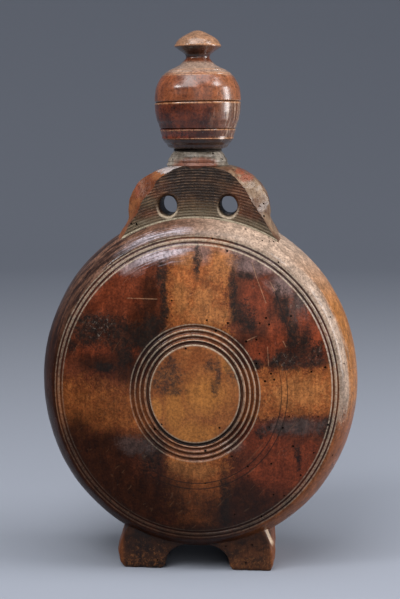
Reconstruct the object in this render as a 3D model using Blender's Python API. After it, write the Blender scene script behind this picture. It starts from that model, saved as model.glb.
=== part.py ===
"""A turned and carved wooden pilgrim flask, 344 mm tall, in metres with +Z up.

The body, its shoulder lug, neck and two feet are one hollowed block, closed in front by a turned disc
bedded in a ring of pitch. A ball-shaped stopper screws into the neck on a leather washer. The ball's
upper half, with its mushroom knob, is a cap that pulls off a spigot to uncover a thin drinking bore.
The origin is the middle of the underside of the feet, and the flask's front faces -Y.
"""

import math

import bmesh
import bpy
from mathutils import Vector

MM = 0.001

# Fits and cutting
CLEARANCE = 0.3 * MM
CUT_OVERRUN = 4 * MM
MERGE_DISTANCE = 0.01 * MM

# Facets round each kind of turned form
DISC_STEPS = 52
CAVITY_STEPS = 36
STOPPER_STEPS = 36
BORE_STEPS = 32
HOLE_STEPS = 24
ARC_STEPS = 10
SMOOTH_ANGLE = math.radians(35)

# The body's disc: the wood has shrunk across its grain, so it is taller than it is wide
DISC_HALF_WIDTH = 102.2 * MM
DISC_HALF_HEIGHT = 110.5 * MM
DISC_HALF_THICKNESS = 46 * MM
FACE_DROP = 14.5 * MM
RIM_WIDTH = 11.2 * MM
RIM_REACH = 30 * MM
FOOT_RISE = 10.9 * MM

# Rings turned into both faces, by their half width across the grain
GROOVE_WIDTH = 1.6 * MM
GROOVE_DEPTH = 1.2 * MM
RIM_GROOVE_MARGIN = 1.6 * MM
RIM_GROOVE_SPACING = 2.4 * MM
RIM_GROOVE_COUNT = 2
RING_GROOVE_HALF_WIDTH = 32.9 * MM
RING_GROOVE_SPACING = 3 * MM
RING_GROOVE_COUNT = 3

# The hollow, reached through the opening in the front face
FACE_WALL = 10.5 * MM
RIM_WALL = 11 * MM
CAVITY_EXPONENT = 2.4
OPENING_HALF_WIDTH = 24.8 * MM

# The disc that closes the opening, and the pitch round it
PLUG_HALF_WIDTH = 28.3 * MM
PLUG_HALF_HEIGHT = 31.3 * MM
PLUG_THICKNESS = 6 * MM
PLUG_EDGE_ROUND = 0.6 * MM
SEAL_WIDTH = 1.8 * MM
SEAL_SINK = 1.4 * MM

# The shoulder lug, a slab with a broad hand-cut bevel round a flat arched panel on each side.
# It and the neck stand a little to one side of the disc's middle.
SHOULDER_RISE = 29.6 * MM
SHOULDER_SPRING_DROP = 3.4 * MM
SHOULDER_OFFSET = 0.1 * MM
SHOULDER_HALF_WIDTH = 44.7 * MM
SHOULDER_HALF_THICKNESS = 18.8 * MM
SHOULDER_SIDE_HALF_THICKNESS = 11 * MM
SHOULDER_EXPONENT = 2.5
SHOULDER_FOOT_FLARE = 12 * MM
SHOULDER_FOOT_DROP = 20 * MM
SHOULDER_FLARE_EXPONENT = 1.3
PANEL_HALF_WIDTH = 46 * MM
PANEL_SPRING_DROP = 14.9 * MM
PANEL_EXPONENT = 1.6

# The two strap holes through the lug, worn taller than they are wide
STRAP_HOLE_OFFSET = 19 * MM
STRAP_HOLE_RISE = 3.8 * MM
STRAP_HOLE_WIDTH = 11.3 * MM
STRAP_HOLE_HEIGHT = 12.4 * MM

# The neck, a short turned collar
NECK_OFFSET = -1.4 * MM
NECK_RISE = 7.8 * MM
NECK_MOUTH_RADIUS = 15.9 * MM
NECK_ROOT_RADIUS = 19.9 * MM
NECK_ROOT_DROP = 0.7 * MM
NECK_SINK = 6 * MM
NECK_SHARES = ((0.96, 0.08), (0.82, 0.3), (0.64, 0.53), (0.33, 0.75), (0.0, 0.97))
BORE_RADIUS = 9.8 * MM

# The feet, one block under the disc with an arch cut through it
FOOT_HALF_THICKNESS = 23.6 * MM
FOOT_SIDE_HALF_THICKNESS = 17 * MM
FOOT_HALF_WIDTH = 50.4 * MM
FOOT_TOP_HALF_WIDTH = 46 * MM
FOOT_SOLE_HALF_WIDTH = 48.2 * MM
FOOT_TOP_HEIGHT = 29.5 * MM
FOOT_KNEE_HEIGHT = 18 * MM
FOOT_HEEL_HEIGHT = 4.5 * MM
FOOT_TOP_BEVEL = 3.5 * MM
FOOT_HEEL_BEVEL = 1.2 * MM
ARCH_HALF_WIDTH = 20.8 * MM
ARCH_HEIGHT = 17 * MM
ARCH_EXPONENT = 2.3
ARCH_TOE_CUT = 2.4 * MM

# The screw stopper: the lower half of the ball, its shank and the cap's spigot
WASHER_THICKNESS = 1 * MM
WASHER_RADIUS = 15.3 * MM
BALL_RADIUS = 27.2 * MM
BALL_BASE_RADIUS = 15.9 * MM
BALL_LOWER_HEIGHT = 28.6 * MM
BALL_LOWER_SHARES = (
    (0.265, 0.05), (0.35, 0.09), (0.46, 0.145), (0.52, 0.18), (0.6, 0.27), (0.665, 0.33),
    (0.595, 0.345), (0.67, 0.36), (0.725, 0.445), (0.79, 0.53), (0.88, 0.62), (0.97, 0.79), (1.0, 0.93),
)
SHANK_LENGTH = 22 * MM
SHANK_TIP_CHAMFER = 1.2 * MM
DRINKING_BORE_RADIUS = 3 * MM
SPIGOT_RADIUS = 13 * MM
SPIGOT_LENGTH = 15 * MM
SPIGOT_CHAMFER = 0.8 * MM

# The cap: the upper half of the ball, its stem and its mushroom knob
CAP_DOME_HEIGHT = 28.4 * MM
STEM_RADIUS = 7.5 * MM
DOME_SHARES = (
    (1.0, 0.11), (0.962, 0.306), (0.85, 0.482), (0.775, 0.57), (0.705, 0.62), (0.63, 0.66),
    (0.426, 0.743), (0.289, 0.789), (0.183, 0.831), (0.056, 0.919),
)
KNOB_RADIUS = 14.6 * MM
KNOB_HEIGHT = 16.6 * MM
KNOB_NECK_SHARES = ((0.0, 0.0), (0.085, 0.084), (0.296, 0.157), (0.535, 0.229), (0.817, 0.307), (0.958, 0.386))
KNOB_TOP_SHARES = (
    (1.0, 0.45), (0.995, 0.51), (0.93, 0.59), (0.86, 0.675), (0.75, 0.75), (0.57, 0.83), (0.38, 0.9),
    (0.19, 0.97),
)

# Places worked out from the sizes above
DISC_CENTRE_Z = FOOT_RISE + DISC_HALF_HEIGHT
DISC_TOP_Z = DISC_CENTRE_Z + DISC_HALF_HEIGHT
SHOULDER_TOP_Z = DISC_TOP_Z + SHOULDER_RISE
MOUTH_Z = SHOULDER_TOP_Z + NECK_RISE
STOPPER_BASE_Z = MOUTH_Z + WASHER_THICKNESS + 2 * CLEARANCE
SEAM_Z = STOPPER_BASE_Z + BALL_LOWER_HEIGHT
FACE_HALF_WIDTH = DISC_HALF_WIDTH - RIM_WIDTH
DISC_TALLNESS = DISC_HALF_HEIGHT / DISC_HALF_WIDTH
PLUG_TALLNESS = PLUG_HALF_HEIGHT / PLUG_HALF_WIDTH
HOLE_HALF_WIDTH = PLUG_HALF_WIDTH + SEAL_WIDTH
PLUG_SEAT_DEPTH = DISC_HALF_THICKNESS - PLUG_THICKNESS - CLEARANCE
SHANK_RADIUS = BORE_RADIUS - CLEARANCE


def clear_scene():
    for old in list(bpy.data.objects):
        bpy.data.objects.remove(old, do_unlink=True)


def finish(name, colour, roughness):
    """A plain wood, leather or pitch finish."""
    material = bpy.data.materials.new(name)
    material.use_nodes = True
    shader = material.node_tree.nodes["Principled BSDF"]
    shader.inputs["Base Color"].default_value = (*colour, 1.0)
    shader.inputs["Roughness"].default_value = roughness
    shader.inputs["Metallic"].default_value = 0.0
    return material


def shade(mesh):
    """Round surfaces shade smooth, and edges sharper than SMOOTH_ANGLE stay crisp."""
    mesh.shade_smooth()
    mesh.set_sharp_from_angle(angle=SMOOTH_ANGLE)


def new_piece(name, form, material=None):
    """Makes an object of a bmesh, with its faces pointing out."""
    bmesh.ops.remove_doubles(form, verts=form.verts, dist=MERGE_DISTANCE)
    bmesh.ops.recalc_face_normals(form, faces=form.faces)
    mesh = bpy.data.meshes.new(name)
    form.to_mesh(mesh)
    form.free()
    shade(mesh)
    piece = bpy.data.objects.new(name, mesh)
    bpy.context.scene.collection.objects.link(piece)
    if material:
        mesh.materials.append(material)
    return piece


def turned(profile, axis, steps, closed=False):
    """Spins a profile of (radius, place along the axis) points a full turn, as a lathe does.

    An open profile starts and ends on the axis. A closed one goes round a bore.
    """
    form = bmesh.new()
    along = Vector(axis)
    chain = [form.verts.new(Vector((radius, 0, 0)) + along * place) for radius, place in profile]
    links = list(zip(chain, chain[1:]))
    if closed:
        links.append((chain[-1], chain[0]))
    edges = [form.edges.new(pair) for pair in links]
    bmesh.ops.spin(
        form, geom=chain + edges, cent=(0, 0, 0), axis=along, dvec=(0, 0, 0),
        angle=math.tau, steps=steps, use_merge=True, use_duplicate=False,
    )
    return form


def lofted(sections):
    """Joins loops of (x, z) points, each at its own y, with walls, and caps the two ends."""
    form = bmesh.new()
    rings = []
    for points, depth in sections:
        verts = [form.verts.new((x, depth, z)) for x, z in points]
        edges = [form.edges.new((a, b)) for a, b in zip(verts, verts[1:] + verts[:1])]
        rings.append((verts, edges))
    for (_, near), (_, far) in zip(rings, rings[1:]):
        bmesh.ops.bridge_loops(form, edges=near + far)
    form.faces.new(rings[0][0])
    form.faces.new(rings[-1][0])
    return form


def cutter(name, form, place=(0, 0, 0)):
    """A tool for a Boolean, kept out of the model."""
    tool = new_piece(name, form)
    tool.location = place
    tool.hide_render = True
    tool.display_type = "WIRE"
    return tool


def combine(piece, tool, operation):
    step = piece.modifiers.new(f"{operation.lower()} {tool.name}", "BOOLEAN")
    step.object = tool
    step.operation = operation
    step.solver = "EXACT"


def settle(piece, tools):
    """Turns a piece's Booleans into one mesh and takes the tools away."""
    bpy.context.view_layer.update()
    seen = piece.evaluated_get(bpy.context.evaluated_depsgraph_get())
    solid = bpy.data.meshes.new_from_object(seen)
    piece.modifiers.clear()
    piece.data = solid
    shade(solid)
    for tool in tools:
        bpy.data.objects.remove(tool, do_unlink=True)


def superellipse(half_width, rise, exponent, steps):
    """Points from (half_width, 0) round to (0, rise)."""
    power = 2 / exponent
    turns = [math.pi / 2 * step / steps for step in range(steps)]
    arc = [(half_width * math.cos(t) ** power, rise * math.sin(t) ** power) for t in turns]
    return arc + [(0.0, rise)]


def mirrored(right_half):
    """Closes an outline by mirroring points that run from low right to top centre."""
    left_half = [(-x, z) for x, z in reversed(right_half) if x > MERGE_DISTANCE]
    return right_half + left_half


def face_depth(half_width):
    """Half the disc's thickness on its domed face."""
    return DISC_HALF_THICKNESS - FACE_DROP * (half_width / FACE_HALF_WIDTH) ** 2


def groove(half_width):
    """The three profile points of a V-shaped turned ring, outer edge first."""
    outer = half_width + GROOVE_WIDTH / 2
    inner = half_width - GROOVE_WIDTH / 2
    return [
        (outer, face_depth(outer)),
        (half_width, face_depth(half_width) - GROOVE_DEPTH),
        (inner, face_depth(inner)),
    ]


def rim_points():
    """The rim's round, as (half width, half thickness), from the disc's edge in to its face."""
    centre = DISC_HALF_WIDTH - RIM_REACH
    start = math.asin((FACE_HALF_WIDTH - centre) / RIM_REACH)
    bulge = face_depth(FACE_HALF_WIDTH) / math.cos(start)
    steps = ARC_STEPS - 2
    turns = [math.pi / 2 + (start - math.pi / 2) * step / steps for step in range(steps + 1)]
    return [(centre + RIM_REACH * math.sin(t), bulge * math.cos(t)) for t in turns]


def face_points(first_ring):
    """One turned face, from the rim grooves in to its middle."""
    outermost = FACE_HALF_WIDTH - RIM_GROOVE_MARGIN
    pair = [outermost - RIM_GROOVE_SPACING * n for n in range(RIM_GROOVE_COUNT)]
    rings = [RING_GROOVE_HALF_WIDTH + RING_GROOVE_SPACING * n for n in range(RING_GROOVE_COUNT)]
    rings.reverse()
    gap = pair[-1] - rings[0]
    plain = [pair[-1] - gap * share for share in (0.25, 0.5, 0.75)]
    points = [point for at in pair for point in groove(at)]
    points += [(at, face_depth(at)) for at in plain]
    points += [point for at in rings + first_ring for point in groove(at)]
    return points + [(0.0, face_depth(0.0))]


def make_disc(material):
    """The disc as it came off the lathe: a domed face and rings on each side, and a round rim."""
    middle_ring = HOLE_HALF_WIDTH - SEAL_WIDTH / 2
    rim = rim_points()
    front = [(r, -depth) for r, depth in rim[1:] + face_points([])]
    back = rim[1:] + face_points([middle_ring])
    profile = list(reversed(front)) + [(DISC_HALF_WIDTH, 0.0)] + back
    form = turned(profile, (0, 1, 0), DISC_STEPS)
    bmesh.ops.scale(form, vec=(1, 1, DISC_TALLNESS), verts=form.verts)
    bmesh.ops.translate(form, vec=(0, 0, DISC_CENTRE_Z), verts=form.verts)
    return new_piece("flask_body", form, material)


def shoulder_outline():
    """The lug's silhouette: a full arch that flares out again where it runs into the disc."""
    spring = DISC_TOP_Z - SHOULDER_SPRING_DROP
    rise = SHOULDER_TOP_Z - spring
    arch = superellipse(SHOULDER_HALF_WIDTH, rise, SHOULDER_EXPONENT, ARC_STEPS)
    arch = [(x, spring + z) for x, z in arch]
    flare = []
    for step in range(ARC_STEPS // 2):
        share = 1 - step / (ARC_STEPS // 2)
        width = SHOULDER_HALF_WIDTH + SHOULDER_FOOT_FLARE * share ** SHOULDER_FLARE_EXPONENT
        flare.append((width, spring - SHOULDER_FOOT_DROP * share))
    return mirrored(flare + arch)


def panel_outline():
    """The panel's arch, with as many points as the silhouette that it faces."""
    spring = DISC_TOP_Z - PANEL_SPRING_DROP
    rise = SHOULDER_TOP_Z - spring
    arch = superellipse(PANEL_HALF_WIDTH, rise, PANEL_EXPONENT, ARC_STEPS)
    arch = [(x, spring + z) for x, z in arch]
    foot = DISC_TOP_Z - SHOULDER_SPRING_DROP - SHOULDER_FOOT_DROP
    count = ARC_STEPS // 2
    jamb = [(PANEL_HALF_WIDTH, foot + (spring - foot) * step / count) for step in range(count)]
    return mirrored(jamb + arch)


def make_lug():
    """The shoulder lug: full thickness at its panels, bevelled back to a thinner edge all round."""
    silhouette = shoulder_outline()
    panel = panel_outline()
    return cutter("lug", lofted([
        (panel, -SHOULDER_HALF_THICKNESS),
        (silhouette, -SHOULDER_SIDE_HALF_THICKNESS),
        (silhouette, SHOULDER_SIDE_HALF_THICKNESS),
        (panel, SHOULDER_HALF_THICKNESS),
    ]), (SHOULDER_OFFSET, 0, 0))


def make_neck():
    """The collar. Its root stands a little proud of the panels and runs down into the lug as a cone."""
    step = NECK_ROOT_RADIUS - NECK_MOUTH_RADIUS
    root = SHOULDER_TOP_Z - NECK_ROOT_DROP
    rise = MOUTH_Z - root
    profile = [(0.0, root - NECK_SINK), (NECK_MOUTH_RADIUS, root - NECK_SINK), (NECK_ROOT_RADIUS, root)]
    profile += [(NECK_MOUTH_RADIUS + step * across, root + rise * up) for across, up in NECK_SHARES]
    profile += [(NECK_MOUTH_RADIUS, MOUTH_Z), (0.0, MOUTH_Z)]
    return cutter("neck", turned(profile, (0, 0, 1), STOPPER_STEPS), (NECK_OFFSET, 0, 0))


def foot_outline(bevel_top, bevel_heel):
    """The outer edge of the foot block, drawn in by a bevel that is widest at the top."""
    return mirrored([
        (FOOT_SOLE_HALF_WIDTH - bevel_heel, 0.0),
        (FOOT_HALF_WIDTH - bevel_heel, FOOT_HEEL_HEIGHT),
        (FOOT_HALF_WIDTH - (bevel_top + bevel_heel) / 2, FOOT_KNEE_HEIGHT),
        (FOOT_TOP_HALF_WIDTH - bevel_top, FOOT_TOP_HEIGHT),
    ])


def make_arch():
    """The arch between the feet, springing from their cut-back inner toes."""
    arch = superellipse(ARCH_HALF_WIDTH, ARCH_HEIGHT - ARCH_TOE_CUT, ARCH_EXPONENT, ARC_STEPS)
    toe = ARCH_HALF_WIDTH + ARCH_TOE_CUT
    outline = mirrored([(toe, -CUT_OVERRUN), (toe, 0.0)] + [(x, ARCH_TOE_CUT + z) for x, z in arch])
    reach = FOOT_HALF_THICKNESS + CUT_OVERRUN
    return cutter("arch", lofted([(outline, -reach), (outline, reach)]))


def make_feet():
    """The foot block with its arch. The disc, joined on later, bulges down a little way into the arch."""
    drawn_in = foot_outline(FOOT_TOP_BEVEL, FOOT_HEEL_BEVEL)
    full = foot_outline(0.0, 0.0)
    feet = cutter("feet", lofted([
        (drawn_in, -FOOT_HALF_THICKNESS),
        (full, -FOOT_SIDE_HALF_THICKNESS),
        (full, FOOT_SIDE_HALF_THICKNESS),
        (drawn_in, FOOT_HALF_THICKNESS),
    ]))
    arch = make_arch()
    combine(feet, arch, "DIFFERENCE")
    settle(feet, [arch])
    return feet


def make_cavity():
    """The hollow: a rounded lens that follows the disc."""
    half_width = DISC_HALF_WIDTH - RIM_WALL
    half_height = DISC_HALF_HEIGHT - RIM_WALL
    half_depth = DISC_HALF_THICKNESS - FACE_WALL
    quarter = superellipse(half_width, half_depth, CAVITY_EXPONENT, ARC_STEPS)
    profile = [(r, -depth) for r, depth in reversed(quarter[1:])] + quarter
    form = turned(profile, (0, 1, 0), CAVITY_STEPS)
    bmesh.ops.scale(form, vec=(1, 1, half_height / half_width), verts=form.verts)
    return cutter("cavity", form, (0, 0, DISC_CENTRE_Z))


def make_opening():
    """The stepped hole in the front face: a seat for the plug, and a way through its ledge."""
    outside = -DISC_HALF_THICKNESS - CUT_OVERRUN
    inside = -DISC_HALF_THICKNESS + FACE_WALL + CUT_OVERRUN
    profile = [
        (0.0, outside), (HOLE_HALF_WIDTH, outside), (HOLE_HALF_WIDTH, -PLUG_SEAT_DEPTH),
        (OPENING_HALF_WIDTH, -PLUG_SEAT_DEPTH), (OPENING_HALF_WIDTH, inside), (0.0, inside),
    ]
    form = turned(profile, (0, 1, 0), DISC_STEPS)
    bmesh.ops.scale(form, vec=(1, 1, PLUG_TALLNESS), verts=form.verts)
    return cutter("opening", form, (0, 0, DISC_CENTRE_Z))


def make_bore():
    """The neck's bore, from the mouth down into the hollow."""
    top = MOUTH_Z + CUT_OVERRUN
    bottom = DISC_TOP_Z - RIM_WALL - 2 * BORE_RADIUS
    profile = [(0.0, bottom), (BORE_RADIUS, bottom), (BORE_RADIUS, top), (0.0, top)]
    return cutter("bore", turned(profile, (0, 0, 1), BORE_STEPS), (NECK_OFFSET, 0, 0))


def make_strap_hole(side):
    """One oval hole, right through the lug from front to back."""
    reach = SHOULDER_HALF_THICKNESS + CUT_OVERRUN
    half_width = STRAP_HOLE_WIDTH / 2
    profile = [(0.0, -reach), (half_width, -reach), (half_width, reach), (0.0, reach)]
    form = turned(profile, (0, 1, 0), HOLE_STEPS)
    bmesh.ops.scale(form, vec=(1, 1, STRAP_HOLE_HEIGHT / STRAP_HOLE_WIDTH), verts=form.verts)
    place = (side * STRAP_HOLE_OFFSET, 0, DISC_TOP_Z + STRAP_HOLE_RISE)
    return cutter(f"strap_hole_{side}", form, place)


def make_flask_body(material):
    """One block: the disc with its lug, neck and feet, then every hole and hollow cut out of it."""
    body = make_disc(material)
    added = [make_lug(), make_neck(), make_feet()]
    removed = [make_cavity(), make_opening(), make_bore()]
    removed += [make_strap_hole(-1), make_strap_hole(1)]
    for solid in added:
        combine(body, solid, "UNION")
    for tool in removed:
        combine(body, tool, "DIFFERENCE")
    settle(body, added + removed)
    return body


def make_front_plug(material):
    """The turned disc that closes the opening, its front following the dome of the face."""
    edge = PLUG_HALF_WIDTH - PLUG_EDGE_ROUND
    crown = [(edge * share, -face_depth(edge * share)) for share in (0.35, 0.7, 1.0)]
    profile = [(0.0, -face_depth(0.0))] + crown
    profile += [
        (PLUG_HALF_WIDTH, -face_depth(PLUG_HALF_WIDTH) + PLUG_EDGE_ROUND),
        (PLUG_HALF_WIDTH, PLUG_THICKNESS - DISC_HALF_THICKNESS),
        (0.0, PLUG_THICKNESS - DISC_HALF_THICKNESS),
    ]
    form = turned(profile, (0, 1, 0), DISC_STEPS)
    bmesh.ops.scale(form, vec=(1, 1, PLUG_TALLNESS), verts=form.verts)
    plug = new_piece("front_plug", form, material)
    plug.location = (0, 0, DISC_CENTRE_Z)
    return plug


def make_plug_seal(material):
    """The ring of pitch in the gap round the plug, a little below the face."""
    inner = PLUG_HALF_WIDTH + CLEARANCE
    outer = HOLE_HALF_WIDTH - CLEARANCE
    top = SEAL_SINK - face_depth(HOLE_HALF_WIDTH)
    bottom = -PLUG_SEAT_DEPTH - CLEARANCE
    profile = [(inner, top), (outer, top), (outer, bottom), (inner, bottom)]
    form = turned(profile, (0, 1, 0), DISC_STEPS, closed=True)
    bmesh.ops.scale(form, vec=(1, 1, PLUG_TALLNESS), verts=form.verts)
    seal = new_piece("plug_seal", form, material)
    seal.location = (0, 0, DISC_CENTRE_Z)
    return seal


def neck_axis():
    """The empty that carries what screws and lifts, on the screw's axis at the neck's mouth."""
    guide = bpy.data.objects.new("neck_axis", None)
    guide.location = (NECK_OFFSET, 0, MOUTH_Z)
    bpy.context.scene.collection.objects.link(guide)
    return guide


def make_washer(material, axis):
    """The leather ring between the mouth and the stopper."""
    inner = BORE_RADIUS
    low = CLEARANCE
    high = CLEARANCE + WASHER_THICKNESS
    profile = [(inner, low), (WASHER_RADIUS, low), (WASHER_RADIUS, high), (inner, high)]
    washer = new_piece("stopper_washer", turned(profile, (0, 0, 1), STOPPER_STEPS, True), material)
    washer.parent = axis
    return washer


def make_stopper(material, axis):
    """The lower half of the ball with its shank below, its spigot above and a bore right through.

    Its own heights are measured from the neck's mouth.
    """
    base = STOPPER_BASE_Z - MOUTH_Z
    seam = SEAM_Z - MOUTH_Z
    swell = BALL_RADIUS - BALL_BASE_RADIUS
    profile = [
        (DRINKING_BORE_RADIUS, -SHANK_LENGTH),
        (SHANK_RADIUS - SHANK_TIP_CHAMFER, -SHANK_LENGTH),
        (SHANK_RADIUS, SHANK_TIP_CHAMFER - SHANK_LENGTH),
        (SHANK_RADIUS, base),
        (BALL_BASE_RADIUS, base),
    ]
    for across, up in BALL_LOWER_SHARES:
        profile.append((BALL_BASE_RADIUS + swell * across, base + BALL_LOWER_HEIGHT * up))
    profile += [
        (BALL_RADIUS, seam),
        (SPIGOT_RADIUS, seam),
        (SPIGOT_RADIUS, seam + SPIGOT_LENGTH - SPIGOT_CHAMFER),
        (SPIGOT_RADIUS - SPIGOT_CHAMFER, seam + SPIGOT_LENGTH),
        (DRINKING_BORE_RADIUS, seam + SPIGOT_LENGTH),
    ]
    stopper = new_piece("stopper", turned(profile, (0, 0, 1), STOPPER_STEPS, True), material)
    stopper.parent = axis
    return stopper


def make_cap(material, axis):
    """The upper half of the ball with its knob, and the blind socket that fits over the spigot."""
    socket = SPIGOT_RADIUS + CLEARANCE
    depth = CLEARANCE + SPIGOT_LENGTH + CLEARANCE
    low = CLEARANCE
    swell = BALL_RADIUS - STEM_RADIUS
    flare = KNOB_RADIUS - STEM_RADIUS
    knob = low + CAP_DOME_HEIGHT
    profile = [(0.0, depth), (socket, depth), (socket, low), (BALL_RADIUS, low)]
    for across, up in DOME_SHARES:
        profile.append((STEM_RADIUS + swell * across, low + CAP_DOME_HEIGHT * up))
    for across, up in KNOB_NECK_SHARES:
        profile.append((STEM_RADIUS + flare * across, knob + KNOB_HEIGHT * up))
    for across, up in KNOB_TOP_SHARES:
        profile.append((KNOB_RADIUS * across, knob + KNOB_HEIGHT * up))
    profile.append((0.0, knob + KNOB_HEIGHT))
    cap = new_piece("stopper_cap", turned(profile, (0, 0, 1), STOPPER_STEPS), material)
    cap.parent = axis
    cap.location = (0, 0, SEAM_Z - MOUTH_Z)
    return cap


def build_flask():
    clear_scene()
    body_wood = finish("body_wood", (0.19, 0.075, 0.03), 0.42)
    plug_wood = finish("plug_wood", (0.24, 0.1, 0.035), 0.42)
    stopper_wood = finish("stopper_wood", (0.2, 0.062, 0.026), 0.35)
    cap_wood = finish("cap_wood", (0.26, 0.09, 0.035), 0.33)
    pitch = finish("pitch", (0.02, 0.013, 0.01), 0.6)
    leather = finish("leather", (0.05, 0.03, 0.02), 0.75)
    make_flask_body(body_wood)
    make_front_plug(plug_wood)
    make_plug_seal(pitch)
    axis = neck_axis()
    make_washer(leather, axis)
    make_stopper(stopper_wood, axis)
    make_cap(cap_wood, axis)


build_flask()
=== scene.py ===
# %% [markdown]
# # A turned wooden pilgrim flask
#
# This lesson dresses a wooden flask. Its solids come from the frame, so every size that can be read there is
# read, and only what the frame doesn't hold, such as the shape of a groove, is written here. The flask was
# turned on a lathe like a wheel, carved at the shoulder and feet, hollowed through its front face and closed
# with a disc of wood. A ball-shaped stopper screws into the neck, and its upper half is a cap.

# %% Load the frame
import math
import random

import bmesh
import bpy
from mathutils import Matrix, Vector, noise
from mathutils.bvhtree import BVHTree


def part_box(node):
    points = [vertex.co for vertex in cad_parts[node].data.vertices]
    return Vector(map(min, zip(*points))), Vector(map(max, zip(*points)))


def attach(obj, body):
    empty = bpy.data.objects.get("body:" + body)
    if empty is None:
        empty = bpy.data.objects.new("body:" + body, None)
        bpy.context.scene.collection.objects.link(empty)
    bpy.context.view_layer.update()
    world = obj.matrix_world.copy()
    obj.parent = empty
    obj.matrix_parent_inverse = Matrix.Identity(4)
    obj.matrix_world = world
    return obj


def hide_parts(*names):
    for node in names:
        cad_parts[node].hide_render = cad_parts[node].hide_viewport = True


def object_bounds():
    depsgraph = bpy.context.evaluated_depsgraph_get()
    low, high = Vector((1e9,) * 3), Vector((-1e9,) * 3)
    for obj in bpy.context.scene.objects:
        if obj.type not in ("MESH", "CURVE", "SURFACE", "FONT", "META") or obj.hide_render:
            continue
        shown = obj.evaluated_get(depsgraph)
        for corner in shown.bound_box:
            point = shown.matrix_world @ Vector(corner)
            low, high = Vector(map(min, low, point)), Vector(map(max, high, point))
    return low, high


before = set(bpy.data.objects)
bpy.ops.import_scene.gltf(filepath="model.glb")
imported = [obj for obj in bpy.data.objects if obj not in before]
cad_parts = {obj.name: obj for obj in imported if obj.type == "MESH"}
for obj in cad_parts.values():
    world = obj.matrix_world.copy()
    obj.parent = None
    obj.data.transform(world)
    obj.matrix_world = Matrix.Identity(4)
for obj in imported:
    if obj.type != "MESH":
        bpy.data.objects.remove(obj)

MM = 0.001
cad_low, cad_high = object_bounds()
body_low, body_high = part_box("flask_body")
plug_low, plug_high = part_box("front_plug")
seal_low, seal_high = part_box("plug_seal")
washer_low, washer_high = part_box("stopper_washer")
stopper_low, stopper_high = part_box("stopper")
cap_low, cap_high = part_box("stopper_cap")
print("the frame is", [round(size / MM) for size in cad_high - cad_low], "mm")

# %% [markdown]
# ## Sizes
#
# The disc's centre is the middle of the closing disc, and the screw's axis is the middle of the washer.
# The wood has shrunk across its grain since it was turned, so every ring that the lathe cut is now an oval,
# taller than it is wide. One ratio, TALLNESS, describes them all, and the closing disc, cut from another
# board, has its own.

# %% Sizes from the frame and the turner's own sizes
FIT = 0.3 * MM
CENTRE = Vector((0, 0, (plug_low.z + plug_high.z) / 2))
HALF_WIDTH = body_high.x
HALF_THICKNESS = body_high.y
HALF_HEIGHT = 110.5 * MM
TALLNESS = HALF_HEIGHT / HALF_WIDTH
PLUG_RADIUS = plug_high.x
PLUG_TALLNESS = (plug_high.z - plug_low.z) / (plug_high.x - plug_low.x)
HOLE_RADIUS = seal_high.x + FIT
MOUTH_Z = body_high.z
SCREW_X = (washer_low.x + washer_high.x) / 2
BASE_Z = washer_high.z + FIT
SEAM_Z = cap_low.z - FIT
BALL_RADIUS = (cap_high.x - cap_low.x) / 2
OUTWARD = (0, 1, 0)
UPWARD = (0, 0, 1)
print("ovals are", round(TALLNESS, 3), "times as tall as wide")

# %% [markdown]
# ## The camera
#
# The photograph was taken from a little to the right of the flask's front and from above its middle, with a
# long lens. The distance, the height and the tilt were found from where the outline's edges fall.

# %% Camera
STAND_OFF = 0.75
CAMERA_HEIGHT = 0.28684
AROUND = math.radians(4.28)
DOWN = math.radians(8.56)
SENSOR = 36.0
FOCAL_LENGTH = 70.36

camera = bpy.data.objects.new("camera", bpy.data.cameras.new("camera"))
camera.data.sensor_width = SENSOR
camera.data.lens = FOCAL_LENGTH
camera.data.clip_start = 0.01
camera.location = (STAND_OFF * math.sin(AROUND), -STAND_OFF * math.cos(AROUND), CAMERA_HEIGHT)
camera.rotation_euler = (math.pi / 2 - DOWN, 0, AROUND)
bpy.context.scene.collection.objects.link(camera)
bpy.context.scene.camera = camera
bpy.context.scene.view_settings.view_transform = "Standard"

# %% [markdown]
# A mark on the wood is placed by the pixel where the photograph shows it. The camera's line of sight through
# that pixel is followed until it meets the surface, so the mark lands on the wood itself.

# %% From a pixel to a place
FRAME_WIDTH = 400
FRAME_HEIGHT = 599
FOCAL_PIXELS = FOCAL_LENGTH / SENSOR * FRAME_HEIGHT
PIXEL = 0.6 * MM


def sight(across, down):
    """The direction in which the camera sees a pixel."""
    aim = Vector(((across - FRAME_WIDTH / 2) / FOCAL_PIXELS, (FRAME_HEIGHT / 2 - down) / FOCAL_PIXELS, -1))
    return camera.rotation_euler.to_matrix() @ aim


def seen_at(across, down, depth):
    """The point that a pixel shows on an upright plane at one depth."""
    aim = sight(across, down)
    return camera.location + aim * ((depth - camera.location.y) / aim.y)


print("the picture's middle is", [round(c / MM) for c in seen_at(FRAME_WIDTH / 2, FRAME_HEIGHT / 2, 0.0)])

# %% [markdown]
# ## Wires
#
# Materials are drawn as node trees. A Wire here is one node's output. Wires are added, taken away, multiplied
# and divided like numbers, and each such sum adds a Math node. So a finish below reads as a list of what is
# done to the wood. A wire knows its own tree, so no helper has to be told which tree it works in.

# %% Wires and nodes


class Wire:
    """A node's output, with which sums can be written."""

    def __init__(self, socket):
        self.socket = socket

    def __add__(self, other):
        return calc("ADD", self, other)

    def __sub__(self, other):
        return calc("SUBTRACT", self, other)

    def __rsub__(self, other):
        return calc("SUBTRACT", other, self)

    def __mul__(self, other):
        return calc("MULTIPLY", self, other)

    def __truediv__(self, other):
        return calc("DIVIDE", self, other)


def plug_in(value, socket):
    """Joins a wire to an input, or sets the input to a number, a vector or a colour."""
    if isinstance(value, Wire):
        socket.id_data.links.new(value.socket, socket)
    else:
        socket.default_value = value


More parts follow.
